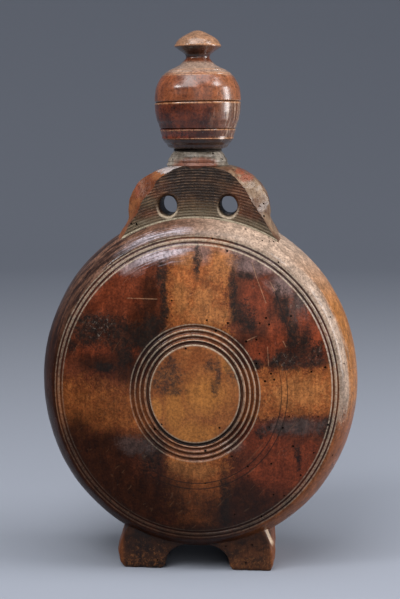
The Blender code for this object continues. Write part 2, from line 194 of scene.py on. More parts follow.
def node_on(kind, *inputs, output=0, **settings):
    """Adds a node to the tree of the wires that it takes. Inputs are (socket, value) pairs."""
    tree = next(value.socket.id_data for _, value in inputs if isinstance(value, Wire))
    node = tree.nodes.new("ShaderNode" + kind)
    for name, value in settings.items():
        setattr(node, name, value)
    for socket, value in inputs:
        plug_in(value, node.inputs[socket])
    return Wire(node.outputs[output])


def calc(operation, *values):
    """One sum on numbers."""
    return node_on("Math", *enumerate(values), operation=operation)


def vector_calc(operation, *values):
    """One sum on vectors."""
    output = "Value" if operation in ("LENGTH", "DOT_PRODUCT") else "Vector"
    return node_on("VectorMath", *enumerate(values), output=output, operation=operation)


def scaled(vector, size):
    """A vector made longer or shorter."""
    return node_on("VectorMath", (0, vector), ("Scale", size), operation="SCALE")


def flattened(vector):
    """A vector laid on the upright plane of the flask's face."""
    return vector_calc("MULTIPLY", vector, (1.0, 0.0, 1.0))


def parts(vector):
    """The three numbers of a vector."""
    return [Wire(socket) for socket in node_on("SeparateXYZ", ("Vector", vector)).socket.node.outputs]


def ramp(value, low, high, start=0.0, end=1.0):
    """Turns a value between low and high smoothly into start to end. Low may be above high."""
    inputs = zip(("Value", "From Min", "From Max", "To Min", "To Max"), (value, low, high, start, end))
    return node_on("MapRange", *inputs, interpolation_type="SMOOTHSTEP")


def speckle(vector, scale, detail, roughness=0.5, distortion=0.0, output=0):
    """Noise around one half."""
    names = ("Vector", "Scale", "Detail", "Roughness", "Distortion")
    return node_on("TexNoise", *zip(names, (vector, scale, detail, roughness, distortion)), output=output)


# %% Colours and masks
MIX_SHARE, MIX_FIRST, MIX_SECOND, MIX_RESULT = 0, 6, 7, 2


def blend_colour(share, first, second, way="MIX"):
    """Lays the second colour over the first."""
    first, second = (c if isinstance(c, Wire) else (*c, 1.0) for c in (first, second))
    inputs = ((MIX_SHARE, share), (MIX_FIRST, first), (MIX_SECOND, second))
    return node_on("Mix", *inputs, output=MIX_RESULT, data_type="RGBA", blend_type=way)


def toned(colour, tone):
    """A colour made lighter or darker by a number."""
    grey = node_on("CombineColor", (0, tone), (1, tone), (2, tone))
    return blend_colour(1.0, colour, grey, "MULTIPLY")


def strongest(masks):
    """The highest of several masks."""
    total = masks[0]
    for mask in masks[1:]:
        total = calc("MAXIMUM", total, mask)
    return total


def off(value, at):
    """How far a value is from a number, either way."""
    return calc("ABSOLUTE", value - at)


def thin_line(value, at, half_width, core=0.35):
    """A thin line where a value is right."""
    return ramp(off(value, at), half_width, half_width * core)


def nearness_to_line(value, middle, half):
    """1 on a line, 0 at its edges."""
    return 1.0 - off(value, middle) / half


def broken_up(field, specks, spread, edge):
    """Turns nearness into a mask whose edge breaks up into specks."""
    return ramp(field + (specks - 0.5) * spread, -edge, edge)


def peppered(vector, scale=210.0):
    """Cloudy noise with fine pepper in it, for edges that fade out in specks."""
    return speckle(vector, scale, 6.0, 0.72) + (speckle(vector, 900.0, 3.0, 0.7) - 0.5) * 0.9


def ragged(vector, scale, reach):
    """Moves a coordinate by noise, so that what is drawn on it has ragged edges."""
    cloud = speckle(vector, scale, 5.0, 0.65, output="Color")
    return vector_calc("ADD", vector, scaled(vector_calc("SUBTRACT", cloud, (0.5, 0.5, 0.5)), reach))


# %% [markdown]
# ## The look of old wood
#
# Three effects come back in many pieces, so each is a node group. *Grain* gives streaks that run up the
# flask, short dark pores, slow changes of tone and the relief of all three. *Wear* gives fine scratches.
# *Patch* tells how near a place is to an oval's middle, for a stain or a rubbed spot.

# %% Node groups
STREAK_STRETCH = (1.0, 1.0, 0.07)
PORE_STRETCH = (1.0, 1.0, 0.12)
SCRATCH_STRETCH = (0.05, 1.0, 0.6)
SCRATCH_TILT = (0.0, 0.9, 0.0)
STREAK_SCALE = 330.0
PORE_SCALE = 900.0
MOTTLE_SCALE = 75.0
RELIEF_SCALE = 700.0
SCRATCH_SCALE = 800.0


def make_group(name, inputs, recipe):
    """A node group. The recipe turns the wires of its inputs into a dictionary of outputs."""
    tree = bpy.data.node_groups.new(name, "ShaderNodeTree")
    for socket in inputs:
        tree.interface.new_socket(socket, in_out="INPUT", socket_type="NodeSocketVector")
    source = tree.nodes.new("NodeGroupInput")
    results = recipe(*(Wire(source.outputs[socket]) for socket in inputs))
    for socket in results:
        tree.interface.new_socket(socket, in_out="OUTPUT", socket_type="NodeSocketFloat")
    target = tree.nodes.new("NodeGroupOutput")
    for socket, value in results.items():
        plug_in(value, target.inputs[socket])
    print("group", name, "gives", ", ".join(results))
    return tree


def use_group(group, *inputs):
    """Places a group, and gives its outputs by name."""
    outputs = node_on("Group", *inputs, node_tree=group).socket.node.outputs
    return {socket.name: Wire(socket) for socket in outputs}


def grain_recipe(place):
    streaks = speckle(vector_calc("MULTIPLY", place, STREAK_STRETCH), STREAK_SCALE, 3.0, 0.6, 0.4)
    pores = ramp(speckle(vector_calc("MULTIPLY", place, PORE_STRETCH), PORE_SCALE, 1.0), 0.64, 0.74)
    mottle = speckle(place, MOTTLE_SCALE, 5.0, 0.62, 0.3)
    relief = speckle(place, RELIEF_SCALE, 3.0, 0.6) + streaks * 0.6 - pores
    return {"Streaks": streaks, "Pores": pores, "Mottle": mottle, "Relief": relief}


def wear_recipe(place):
    tilted = node_on("Mapping", ("Vector", place), ("Rotation", SCRATCH_TILT))
    lines = vector_calc("MULTIPLY", tilted, SCRATCH_STRETCH)
    return {"Scratches": ramp(speckle(lines, SCRATCH_SCALE, 1.0, 0.5, 0.6), 0.69, 0.76)}


def patch_recipe(place, centre, half_size):
    shares = vector_calc("DIVIDE", vector_calc("SUBTRACT", place, centre), half_size)
    return {"Nearness": 1.0 - vector_calc("LENGTH", shares)}


grain_group = make_group("grain", ["Vector"], grain_recipe)
wear_group = make_group("wear", ["Vector"], wear_recipe)
patch_group = make_group("patch", ["Vector", "Centre", "Half Size"], patch_recipe)

# %% [markdown]
# A finish starts from a ground colour and gets one layer after another, each where its mask says, as old wax,
# dirt and wear lie on real wood. A Finish holds the colour so far, and joins it to the shader at the end.

# %% A finish
GROOVE_BLACK = (0.011, 0.006, 0.0045)
WOOD_SHINE = 0.2


class Finish:
    """A material in the making."""

    def __init__(self, name):
        self.material = bpy.data.materials.new(name)
        self.material.use_nodes = True
        self.tree = self.material.node_tree
        self.shader = self.tree.nodes["Principled BSDF"]
        self.place = Wire(self.tree.nodes.new("ShaderNodeTexCoord").outputs["Object"])

    def start_wood(self):
        """Places the grain and the scratches of a wood."""
        self.grain = use_group(grain_group, ("Vector", self.place))
        self.scratches = use_group(wear_group, ("Vector", self.place))["Scratches"]

    def start(self, share, dark, light):
        """The ground colour, mottled from dark to light."""
        self.colour = blend_colour(share, dark, light)

    def lay(self, share, colour):
        """Lays a colour over the wood, as strongly as the share says."""
        self.colour = blend_colour(share, self.colour, colour)

    def tone(self, value, low, high, start, end):
        """Makes the colour lighter or darker with a value."""
        self.colour = toned(self.colour, ramp(value, low, high, start, end))

    def draw_on(self, flat, where):
        """Chooses what ovals are drawn on: flat coordinates, and where() from a pixel to (x, z) on them."""
        self.flat, self.where = flat, where

    def ovals(self, places, specks, spread, edge):
        """A mask of ragged ovals. Each is (across, down, half width, half height) in pixels."""
        fields = []
        for across, down, wide, tall in places:
            x, z = self.where(across, down)
            half_size = (wide * PIXEL, 1.0, tall * PIXEL)
            oval = use_group(
                patch_group, ("Vector", self.flat), ("Centre", (x, 0, z)), ("Half Size", half_size),
            )
            fields.append(oval["Nearness"])
        return broken_up(strongest(fields), specks, spread, edge)

    def add_grain(self, streak_share, pore_share):
        """Lays the grain's streaks and pores over the colour."""
        self.tone(self.grain["Streaks"], 0.32, 0.68, 1.0 - streak_share, 1.0 + streak_share)
        self.lay(self.grain["Pores"] * pore_share, GROOVE_BLACK)

    def finish(self, roughness, height, depth, coat=0.0, coat_roughness=0.03, shine=WOOD_SHINE):
        """Joins colour, roughness and a bump to the shader. A pair of roughnesses follows the mottle."""
        if isinstance(roughness, tuple):
            roughness = ramp(self.grain["Mottle"], 0.3, 0.7, *roughness)
        bump = node_on("Bump", ("Height", height), ("Distance", depth), ("Strength", 1.0))
        for socket, value in (
            ("Base Color", self.colour), ("Roughness", roughness), ("Normal", bump),
            ("Specular IOR Level", shine), ("Coat Weight", coat), ("Coat Roughness", coat_roughness),
        ):
            plug_in(value, self.shader.inputs[socket])
        print("finish", self.material.name, "has", len(self.tree.nodes), "nodes")
        return self.material


def start_wood(name):
    """A wood's finish, with its grain and scratches placed."""
    wood = Finish(name)
    wood.start_wood()
    return wood


# %% [markdown]
# ## Rings
#
# The lathe tool left a pair of fine grooves just inside the rim and three deeper ones round the middle. Each
# is a radius, a width and a depth, before the wood shrank. The back has one more, where the front has
# the edge of its closing disc.

# %% Rings
FACE_RADIUS = HALF_WIDTH - 11.2 * MM
FACE_DROP = 14.5 * MM
RIM_REACH = 30 * MM
RIM_RINGS = [(FACE_RADIUS - 2.4 * MM, 1.5 * MM, 0.5 * MM), (FACE_RADIUS - 5.15 * MM, 1.7 * MM, 0.6 * MM)]
MIDDLE_RINGS = [(32.6 * MM + 3.1 * MM * step, 2.5 * MM, 1.15 * MM) for step in range(3)]
FRONT_RINGS = RIM_RINGS + MIDDLE_RINGS
ALL_RINGS = FRONT_RINGS + [((PLUG_RADIUS + HOLE_RADIUS) / 2, 1.8 * MM, 1.2 * MM)]
RING_SHARES = (-1.1, -0.95, -0.7, -0.35, 0.0, 0.35, 0.7, 0.95, 1.1)


def dome(radius):
    """Half the thickness of the disc at a radius on its face."""
    return HALF_THICKNESS - FACE_DROP * (radius / FACE_RADIUS) ** 2


def cut_depth(radius, rings):
    """How far the rings lower the face at a radius."""
    return max([0.0] + [
        depth * max(0.0, 1 - (abs(radius - middle) / (width / 2)) ** 2.0) for middle, width, depth in rings
    ])


def face_profile(rings, coarse_steps):
    """(radius, half thickness) from the face's edge in to its middle, closer together in the rings."""
    radii = [FACE_RADIUS * step / coarse_steps for step in range(coarse_steps)]
    clear = [r for r in radii if all(abs(r - middle) > width * 0.62 for middle, width, _ in rings)]
    fine = [middle + width / 2 * share for middle, width, _ in rings for share in RING_SHARES]
    return [(r, dome(r) - cut_depth(r, rings)) for r in sorted(clear + fine, reverse=True)]


def rim_profile(steps):
    """(radius, half thickness) round the rim, from its outermost line to the face's edge."""
    middle = HALF_WIDTH - RIM_REACH
    start = math.asin((FACE_RADIUS - middle) / RIM_REACH)
    bulge = dome(FACE_RADIUS) / math.cos(start)
    turns = [math.pi / 2 + (start - math.pi / 2) * step / steps for step in range(1, steps + 1)]
    return [(middle + RIM_REACH * math.sin(t), bulge * math.cos(t)) for t in turns]


def on_face(across, down):
    """The place on the front face that a pixel shows, from its centre and before the wood shrank."""
    depth = -HALF_THICKNESS
    for _ in range(6):
        point = seen_at(across, down, depth) - CENTRE
        depth = -dome(min(math.hypot(point.x, point.z / TALLNESS), FACE_RADIUS))
    return point.x, point.z / TALLNESS


# %% [markdown]
# ## The disc's finish
#
# Light on a board turned across its grain shows a pale cross, because the fibres meet the dome at different
# angles. Between its arms the wood is red-brown, with blackened stains. The rings are dark at the bottom with
# dirt and painted shade, and their lips are pale with dust and wax and with a painted highlight on the side
# where the light falls. Every mark is drawn on the coordinates that the disc had before it shrank, so that
# rings are circles there.

# %% Colours of the disc
ORANGE = (0.235, 0.066, 0.017)
CLEAR_ORANGE = (0.285, 0.090, 0.024)
GOLD = (0.36, 0.145, 0.045)
RED = (0.15, 0.030, 0.011)
RED_BROWN = (0.095, 0.024, 0.010)
DEEP_BROWN = (0.056, 0.013, 0.005)
DARK_BROWN = (0.021, 0.006, 0.002)
BLACKENED = (0.011, 0.0065, 0.0045)
GROOVE_RED = (0.024, 0.009, 0.006)
LILAC_DUST_AND_SHEEN = (0.21, 0.145, 0.135)
BLUE_GREY_AND_SHEEN = (0.115, 0.078, 0.070)
GREY_SCRATCH = (0.21, 0.17, 0.14)
SCRATCH_TAN = (0.42, 0.23, 0.13)
TAN = (0.36, 0.19, 0.10)
PAINTED_SHEEN = (0.46, 0.40, 0.44)
PALE_DUST_AND_HIGHLIGHT = (0.38, 0.30, 0.22)

# %% Where the marks are
# Each is (across, down, half width, half height) in pixels of the photograph.
BLACK_STAINS = [
    (98, 324, 26, 11), (88, 334, 15, 14), (118, 334, 16, 16), (140, 336, 22, 12), (151, 350, 10, 14),
    (164, 300, 3.5, 36), (161, 274, 3.5, 12), (152, 324, 13, 10), (233, 296, 4, 26), (242, 314, 12, 13),
    (250, 324, 9, 8), (246, 275, 9, 3.5), (278, 296, 4, 13), (285, 312, 5, 17), (293, 334, 7, 18),
    (300, 300, 7, 9), (288, 359, 21, 9), (273, 362, 6, 7), (316, 352, 8, 9), (313, 364, 14, 4),
    (305, 343, 8, 12), (257, 363, 5, 6), (270, 428, 5, 5), (284, 428, 9, 6), (301, 424, 10, 8),
    (326, 425, 8, 10),
    (262, 432, 7, 5), (298, 456, 3, 12), (197, 262, 4, 14), (225, 500, 6, 34), (152, 452, 12, 22),
    (104, 366, 12, 5), (72, 345, 6, 8), (125, 352, 8, 12),
]
DARK_AREAS_AND_SHADE = [
    (98, 478, 44, 40), (150, 500, 52, 34), (112, 447, 44, 14), (78, 440, 16, 26), (240, 512, 44, 26),
    (192, 538, 62, 20), (246, 492, 18, 14), (300, 510, 26, 12), (146, 330, 22, 26), (150, 300, 10, 26),
    (128, 366, 18, 16), (100, 362, 26, 8),
]
RED_PATCHES = [
    (132, 292, 30, 26), (104, 302, 14, 16), (256, 302, 16, 22), (278, 334, 10, 14), (303, 316, 8, 15),
    (262, 350, 14, 10), (310, 448, 9, 7), (276, 448, 16, 11), (94, 352, 20, 8), (132, 350, 9, 9),
    (258, 440, 18, 16), (286, 466, 30, 24), (262, 476, 20, 16), (318, 340, 12, 18), (204, 500, 18, 22),
]
GOLD_PATCHES = [
    (181, 296, 9, 16), (222, 264, 13, 17), (186, 258, 14, 8), (204, 300, 10, 12), (225, 228, 9, 4),
    (194, 228, 9, 3), (196, 470, 22, 8), (208, 316, 22, 12), (178, 466, 12, 10), (300, 392, 30, 14),
]
LILAC_DUST_AND_SHEEN_PATCHES = [
    (150, 255, 30, 7), (184, 247, 26, 5), (126, 268, 14, 6), (202, 253, 9, 8), (258, 262, 26, 10),
    (284, 284, 16, 10), (244, 250, 20, 6),
]
BLUE_STAIN_AND_SHEEN_PATCHES = [(296, 426, 30, 8), (136, 446, 18, 9), (300, 304, 9, 14), (232, 446, 10, 6)]
SCRATCHED_PATCHES = [
    (98, 328, 18, 12), (286, 360, 14, 8), (318, 358, 8, 8), (296, 308, 6, 8), (284, 452, 5, 7),
]
# Each is (across, down) at one end and at the other.
LONG_SCRATCHES = [
    (252, 262, 256, 276), (256, 276, 266, 303), (127, 298, 157, 299), (267.5, 347, 268.5, 366),
    (270, 282, 275, 291), (283, 341, 286, 347), (246, 341, 257, 336), (150, 352, 160, 345),
]
LONG_SCORES = [(275, 291, 288, 330), (288, 330, 298, 345), (273, 286, 278, 300)]
# These are radii, and half widths where there are two.
SCORE_LINES = (53.6 * MM, 57.2 * MM)
PAINTED_SHEEN_RINGS = ((82.0 * MM, 5.0 * MM), (93.0 * MM, 2.6 * MM))

# %% [markdown]
# The cross has an upright arm and a level one, which lies lower on the left. Each arm is the nearness to a
# line, and a large number taken away on the wrong side of the flask ends the level arm's two halves.

# %% Lathe coordinates and the cross
UPRIGHT_ARM = (1.6 * MM, 19.6 * MM)
RIGHT_ARM = (0.6 * MM, 14.5 * MM)
LEFT_ARM = (-10.2 * MM, 14.5 * MM)
FAR_AWAY = 9.0


def lathe_places(place, tallness):
    """Coordinates from the disc's centre before the wood shrank, the same laid flat, and the radius."""
    centred = vector_calc("SUBTRACT", place, tuple(CENTRE))
    round_again = vector_calc("MULTIPLY", centred, (1.0, 1.0, 1.0 / tallness))
    flat = flattened(round_again)
    return round_again, flat, vector_calc("LENGTH", flat)


def streaks_round(flat, radius, depth, scale, drawn):
    """Noise drawn out along the lathe's turning."""
    across, _, up = parts(flat)
    wound = node_on("CombineXYZ", ("X", calc("ARCTAN2", across, up) * drawn), ("Y", radius), ("Z", depth))
    return speckle(wound, scale, 4.0, 0.65)


def cross_arms(across, up, specks):
    """The pale cross: an upright arm that fades low down, and a level one."""
    on_right = ramp(across, -0.004, 0.004)
    upright = nearness_to_line(across, *UPRIGHT_ARM) - ramp(up, -0.058, -0.098, 0.0, 0.4)
    right_arm = nearness_to_line(up, *RIGHT_ARM) - (1.0 - on_right) * FAR_AWAY
    left_arm = nearness_to_line(up, *LEFT_ARM) - on_right * FAR_AWAY
    sharp = broken_up(strongest([upright, right_arm]), specks, 1.3, 0.2)
    return strongest([sharp, broken_up(left_arm, specks, 1.6, 0.6)])


wood = start_wood("turned_wood")
centred, flat, radius = lathe_places(wood.place, TALLNESS)
depth = parts(wood.place)[1]
wood.draw_on(flattened(ragged(centred, 60.0, 0.008)), on_face)
across, _, up = parts(wood.flat)
on_front = ramp(depth, 0.0, -0.01)
specks = peppered(wood.place)
wound = streaks_round(flat, radius, depth, 330.0, 0.010)
wood.start(ramp(wood.grain["Mottle"], 0.38, 0.62), DEEP_BROWN, RED_BROWN)
reddened = wood.ovals(RED_PATCHES, specks, 0.8, 0.5) * ramp(across, -0.04, 0.0, 0.62, 1.0)
wood.lay(reddened * on_front, RED)
warm = blend_colour(ramp(specks, 0.4, 0.62), ORANGE, CLEAR_ORANGE)
warm = toned(warm, ramp(across, -0.025, -0.055, 1.0, 0.72))
# The arms darken towards the bottom, partly painted shade and partly darker wood.
warm = toned(warm, ramp(up, -0.055, -0.088, 1.0, 0.4))
wood.lay(cross_arms(across, up, specks) * 0.9, warm)

# %% [markdown]
# Stains and rubbed places lie on the cross, on the front only. The dark areas low down are partly painted
# shade, and the lilac and blue-grey patches are partly a painted sheen. Noise breaks their edges up into
# specks, as wax that has worn off the high fibres does.

# %% Stains of the disc
wood.lay(wood.ovals(GOLD_PATCHES, specks, 2.2, 0.5) * (on_front * 0.55), GOLD)
# Dark areas: stains, and low down and to the left partly painted shade.
wood.lay(wood.ovals(DARK_AREAS_AND_SHADE, specks, 1.0, 0.5) * (on_front * 0.85), DARK_BROWN)
# Lilac patches near the upper rings: partly dust, partly a painted sheen.
wood.lay(wood.ovals(LILAC_DUST_AND_SHEEN_PATCHES, wound, 1.6, 0.6) * (on_front * 0.6), LILAC_DUST_AND_SHEEN)
patchy = ramp(speckle(wood.place, 380.0, 5.0, 0.8), 0.4, 0.56, 0.55, 0.96)
stain = wood.ovals(BLACK_STAINS, specks, 2.2, 0.4) * patchy * on_front
wood.lay(stain, BLACKENED)
# Blue-grey patches: dark stains, and at the lower left a painted sheen.
wood.lay(wood.ovals(BLUE_STAIN_AND_SHEEN_PATCHES, specks, 2.0, 0.5) * (on_front * 0.42), BLUE_GREY_AND_SHEEN)
threads = ramp(speckle(ragged(wood.place, 300.0, 0.004), 620.0, 4.0, 0.8), 0.55, 0.68)
scraped = wood.ovals(SCRATCHED_PATCHES, specks, 1.0, 0.5) * threads * on_front
wood.lay(scraped * 0.6, GREY_SCRATCH)

# %% [markdown]
# The rim has dust and a painted sheen on top, cream and orange on the right, where it was handled and where
# the painted light of the lamp on that side falls, dark streaks at the upper left, and dark red-brown
# elsewhere. Which way a place lies from the centre decides between them.

# %% Colour of the rim
CREAM_END = -12.5 * MM
RIM_DARK = (0.030, 0.0075, 0.0025)
RIM_DUST_AND_SHEEN = (0.125, 0.062, 0.040)
RIM_ORANGE = (0.19, 0.060, 0.019)
RIM_CREAM = (0.31, 0.22, 0.165)
RIM_GLOW = (0.29, 0.115, 0.034)
RIM_STREAK = (0.018, 0.009, 0.008)

aside, _, above = parts(vector_calc("NORMALIZE", flat))
rim_up = parts(flat)[2]
# Darker below and lighter on top, where the top is partly dust and partly a painted sheen.
own = blend_colour(ramp(above, 0.1, 0.85), RIM_DARK, RIM_DUST_AND_SHEEN)
own = blend_colour(ramp(aside, 0.2, 0.6) * ramp(above, 0.1, -0.25), own, RIM_ORANGE)
shaken = rim_up + (specks - 0.5) * 0.035
# Cream and gold on the right: partly handling, partly painted light from the lamp on the right.
handled_and_lit = ramp(aside, -0.2, 0.35) * ramp(shaken, CREAM_END - 12 * MM, CREAM_END + 8 * MM)
outermost = ramp(radius + wound * 0.008, 0.0985, 0.1015) * ramp(rim_up, 0.085, 0.045)
own = blend_colour(handled_and_lit, own, blend_colour(outermost, RIM_CREAM, RIM_GLOW))
upper_left = ramp(aside, 0.1, -0.45) * ramp(above, 0.0, 0.4)
own = blend_colour(ramp(wound, 0.44, 0.56) * upper_left * 0.9, own, RIM_STREAK)
wood.lay(ramp(radius, FACE_RADIUS - 1.7 * MM, FACE_RADIUS - 0.9 * MM), own)

# %% [markdown]
# A painted sheen shows as fine pale threads along two rings at the upper left. A knife and the strap's buckle
# left long scores and scratches, drawn as straight lines between two pixels.

# %% Painted sheen, scores and scratches


def near_segments(flat, segments, half_width):
    """Thin straight lines between pairs of pixels."""
    masks = []
    for from_across, from_down, to_across, to_down in segments:
        ends = (on_face(from_across, from_down), on_face(to_across, to_down))
        start, end = (Vector((x, 0, z)) for x, z in ends)
        along = end - start
        offset = vector_calc("SUBTRACT", flat, tuple(start))
        share = vector_calc("DOT_PRODUCT", offset, tuple(along / along.length_squared))
        share = calc("MINIMUM", calc("MAXIMUM", share, 0.0), 1.0)
        away = vector_calc("LENGTH", vector_calc("SUBTRACT", offset, scaled(tuple(along), share)))
        masks.append(ramp(away, half_width, half_width * 0.3))
    return strongest(masks)


# The painted sheen: pale threads where the upper left rings reflect the light.
slope = across / calc("MAXIMUM", up, 0.01)
arc = ramp(slope, -0.75, -0.3) * ramp(slope, 0.02, -0.15) * ramp(up, 0.03, 0.05)
bands = strongest([nearness_to_line(radius, middle, half) for middle, half in PAINTED_SHEEN_RINGS])
threads = streaks_round(flat, radius, depth, 900.0, 0.004) - 0.5
wood.lay(ramp(bands + threads * 4.5, 0.1, 1.1) * arc * (on_front * 0.75), PAINTED_SHEEN)
wood.lay(near_segments(flat, LONG_SCORES, 0.5 * MM) * (on_front * 0.8), GROOVE_BLACK)
wood.lay(near_segments(flat, LONG_SCRATCHES, 0.34 * MM) * (on_front * 0.42), SCRATCH_TAN)

# %% [markdown]
# Last come the grain, pits, two faint lines that a tool scored, and the rings, whose bottoms hold dirt and
# painted shade, and whose lips hold pale dust and a painted highlight where the light falls.

# %% Grain, pits and rings of the disc
DISC_SHINE = 0.08

wood.add_grain(0.18, 0.2)
fine = speckle(wood.place, 640.0, 3.0, 0.75)
wood.tone(fine, 0.32, 0.68, 0.66, 1.34)
wood.tone(speckle(wood.place, 170.0, 4.0, 0.6), 0.35, 0.65, 0.8, 1.2)
wood.lay(ramp(speckle(wood.place, 820.0, 3.0, 0.65), 0.60, 0.68) * 0.6, GROOVE_BLACK)
scored = strongest([thin_line(radius, at, 0.5 * MM) for at in SCORE_LINES])
low_right = ramp(vector_calc("DOT_PRODUCT", centred, (0.6, 0.0, -0.8)), 0.0, 0.04)
wood.lay(scored * (low_right * 0.75), BLACKENED)
bottoms = strongest([thin_line(radius, middle, width * 0.5) for middle, width, _ in ALL_RINGS])
lips = strongest([
    thin_line(radius, middle + side * (width / 2 + 0.2 * MM), 0.55 * MM)
    for middle, width, _ in ALL_RINGS for side in (-1, 1)
])
# The ring bottoms are darkened with dirt and painted shade.
wood.lay(bottoms * 0.6, GROOVE_RED)
# The lips are pale with dust and a painted highlight, strongest on the side where the light falls.
lit_side = vector_calc("DOT_PRODUCT", centred, (4.5, 0.0, 8.0))
dust_and_lit_lips = ramp(fine, 0.35, 0.6, 0.3, 0.9) * ramp(lit_side, -0.8, 0.5, 0.12, 1.0)
wood.lay(lips * (dust_and_lit_lips * ramp(parts(centred)[2], -0.100, -0.080)), PALE_DUST_AND_HIGHLIGHT)
wood.lay(wood.scratches * 0.1, TAN)
roughness = ramp(wood.grain["Mottle"], 0.3, 0.7, 0.27, 0.42) + strongest([bottoms, stain]) * 0.2
height = wood.grain["Relief"] - wood.scratches + wound
dull = ramp(vector_calc("DOT_PRODUCT", centred, (-0.8, 0.0, -0.6)), 0.02, 0.075)
turned_wood = wood.finish(roughness, height, 0.10 * MM, ramp(dull, 0.0, 1.0, 0.24, 0.0), 0.18, DISC_SHINE)

# %% [markdown]
# ## The lug's finish
#
# The lug's flat panel was left from the same turning as the disc, so it keeps the ridges of a coarse tool,
# ring on ring round the disc's centre. Their crests are rubbed pale. A pale line of dirt and wax, with a
# painted highlight on the edge, lies where the panel meets the disc, and the lower lips of the strap holes
# carry a painted highlight where the light from above falls.

# %% Panel wood
RIPPLE_PITCH = 1.62 * MM
JOINT_RADIUS = HALF_WIDTH * 0.966
DISC_TOP_Z = CENTRE.z + HALF_HEIGHT
LUG_HALF_THICKNESS = 18.8 * MM
STRAP_HOLE_OFFSET = 19 * MM
STRAP_HOLE_RADIUS = 5.65 * MM
STRAP_HOLE_TALLNESS = 1.1
STRAP_HOLE_Z = DISC_TOP_Z + 3.8 * MM
PANEL_DARK = [
    (198, 172, 34, 9), (188, 188, 26, 8), (206, 192, 16, 10), (176, 178, 14, 6), (224, 178, 12, 6),
]
PANEL_RED = [
    (240, 198, 14, 12), (246, 214, 12, 10), (158, 192, 12, 6), (150, 216, 12, 6), (168, 186, 10, 5),
]
PANEL_OLIVE = [
    (148, 200, 12, 8), (196, 207, 26, 8), (134, 222, 14, 8), (250, 226, 12, 7), (216, 208, 10, 6),
]
OLIVE = (0.10, 0.070, 0.038)
RUSSET = (0.125, 0.040, 0.016)
PANEL_DARK_BROWN = (0.014, 0.008, 0.005)
CREST_TAN = (0.21, 0.115, 0.062)
NEAR_DISC_GREY = (0.16, 0.125, 0.08)
JOINT_DUST_AND_HIGHLIGHT = (0.50, 0.42, 0.30)
MOUTH_HIGHLIGHT = (0.42, 0.33, 0.24)
CREAM = (0.42, 0.29, 0.19)


def on_lug(across, down):
    """The place on the lug's flat panel that a pixel shows."""
    point = seen_at(across, down, -LUG_HALF_THICKNESS)
    return point.x, point.z


def lit_hole_lip(flat_place, side):
    """The lower edge of a strap hole, painted as a highlight, widest below, where the light from above falls."""
    middle = (side * STRAP_HOLE_OFFSET, 0.0, STRAP_HOLE_Z - 0.6 * MM)
    offset = vector_calc("SUBTRACT", flat_place, middle)
    away = vector_calc("MULTIPLY", offset, (1.0, 0.0, 1.0 / STRAP_HOLE_TALLNESS))
    near = ramp(vector_calc("LENGTH", away), STRAP_HOLE_RADIUS * 1.32, STRAP_HOLE_RADIUS * 1.12)
    return near * ramp(parts(away)[2], 2 * MM, -4 * MM)


wood = start_wood("tool_marked_wood")
centred, _, radius = lathe_places(wood.place, TALLNESS)
wood.draw_on(flattened(ragged(wood.place, 70.0, 0.006)), on_lug)
specks = peppered(wood.place, 230.0)
wood.start(ramp(wood.grain["Mottle"], 0.4, 0.6), (0.034, 0.015, 0.007), (0.066, 0.028, 0.012))
olive = wood.ovals(PANEL_OLIVE, specks, 1.0, 0.6)
wood.lay(olive * 0.6, OLIVE)
russet = wood.ovals(PANEL_RED, specks, 1.4, 0.6)
wood.lay(russet * 0.7, RUSSET)
# Darker at the top centre of the panel, below the neck.
wood.lay(wood.ovals(PANEL_DARK, specks, 1.2, 0.6) * 0.85, PANEL_DARK_BROWN)
wavy_radius = vector_calc("LENGTH", flattened(ragged(centred, 60.0, 0.0032)))
ridges = calc("SINE", wavy_radius / (RIPPLE_PITCH / math.tau))
torn = ramp(speckle(wood.place, 300.0, 5.0, 0.75), 0.42, 0.58)
sides = broken_up(calc("MAXIMUM", olive, russet), specks, 1.0, 0.6)
wood.lay(ramp(ridges, 0.2, 0.95) * torn * ramp(sides, 0.0, 1.0, 0.2, 0.5), CREST_TAN)
wood.lay(ramp(ridges, -0.3, -0.95) * 0.35, GROOVE_BLACK)
wood.add_grain(0.2, 0.3)
wood.lay(ramp(radius, HALF_WIDTH * 1.030, HALF_WIDTH * 1.0) * 0.6, NEAR_DISC_GREY)
# The joint line is pale with dirt and wax and with a painted highlight on the edge.
joint = ramp(radius, JOINT_RADIUS + 1.3 * MM, JOINT_RADIUS + 0.6 * MM)
wood.lay(joint * ramp(specks, 0.3, 0.6, 0.4, 0.95), JOINT_DUST_AND_HIGHLIGHT)
flat_place = flattened(wood.place)
# Painted highlights on the lower lips of the strap holes.
lit_mouths = strongest([lit_hole_lip(flat_place, side) for side in (-1, 1)])
lit_mouths = lit_mouths * ramp(calc("ABSOLUTE", parts(wood.place)[1]), 0.0160, 0.0182)
wood.lay(lit_mouths * ramp(specks, 0.4, 0.6, 0.5, 0.95), MOUTH_HIGHLIGHT)
wood.lay(wood.scratches * 0.12, CREAM)
tool_marked_wood = wood.finish((0.42, 0.62), wood.grain["Relief"] + torn * 1.5, 0.16 * MM, 0.1, 0.35)

# %% [markdown]
# The bevels beside the panel were cut with a knife, and hands have polished them. The left one is orange and
# the right one cream, with a few chips and a painted white highlight along the top.

# %% Bevel wood
BEVEL_HIGHLIGHTS = [(167, 168, 15, 6), (178, 163, 10, 3), (187, 161, 8, 3)]
BEVEL_CHIPPED = [(246, 178, 7, 5), (240, 171, 5, 4), (136, 190, 3, 8)]
HIGHLIGHT_WHITE = (0.45, 0.42, 0.42)
CHIP_RED = (0.20, 0.055, 0.028)

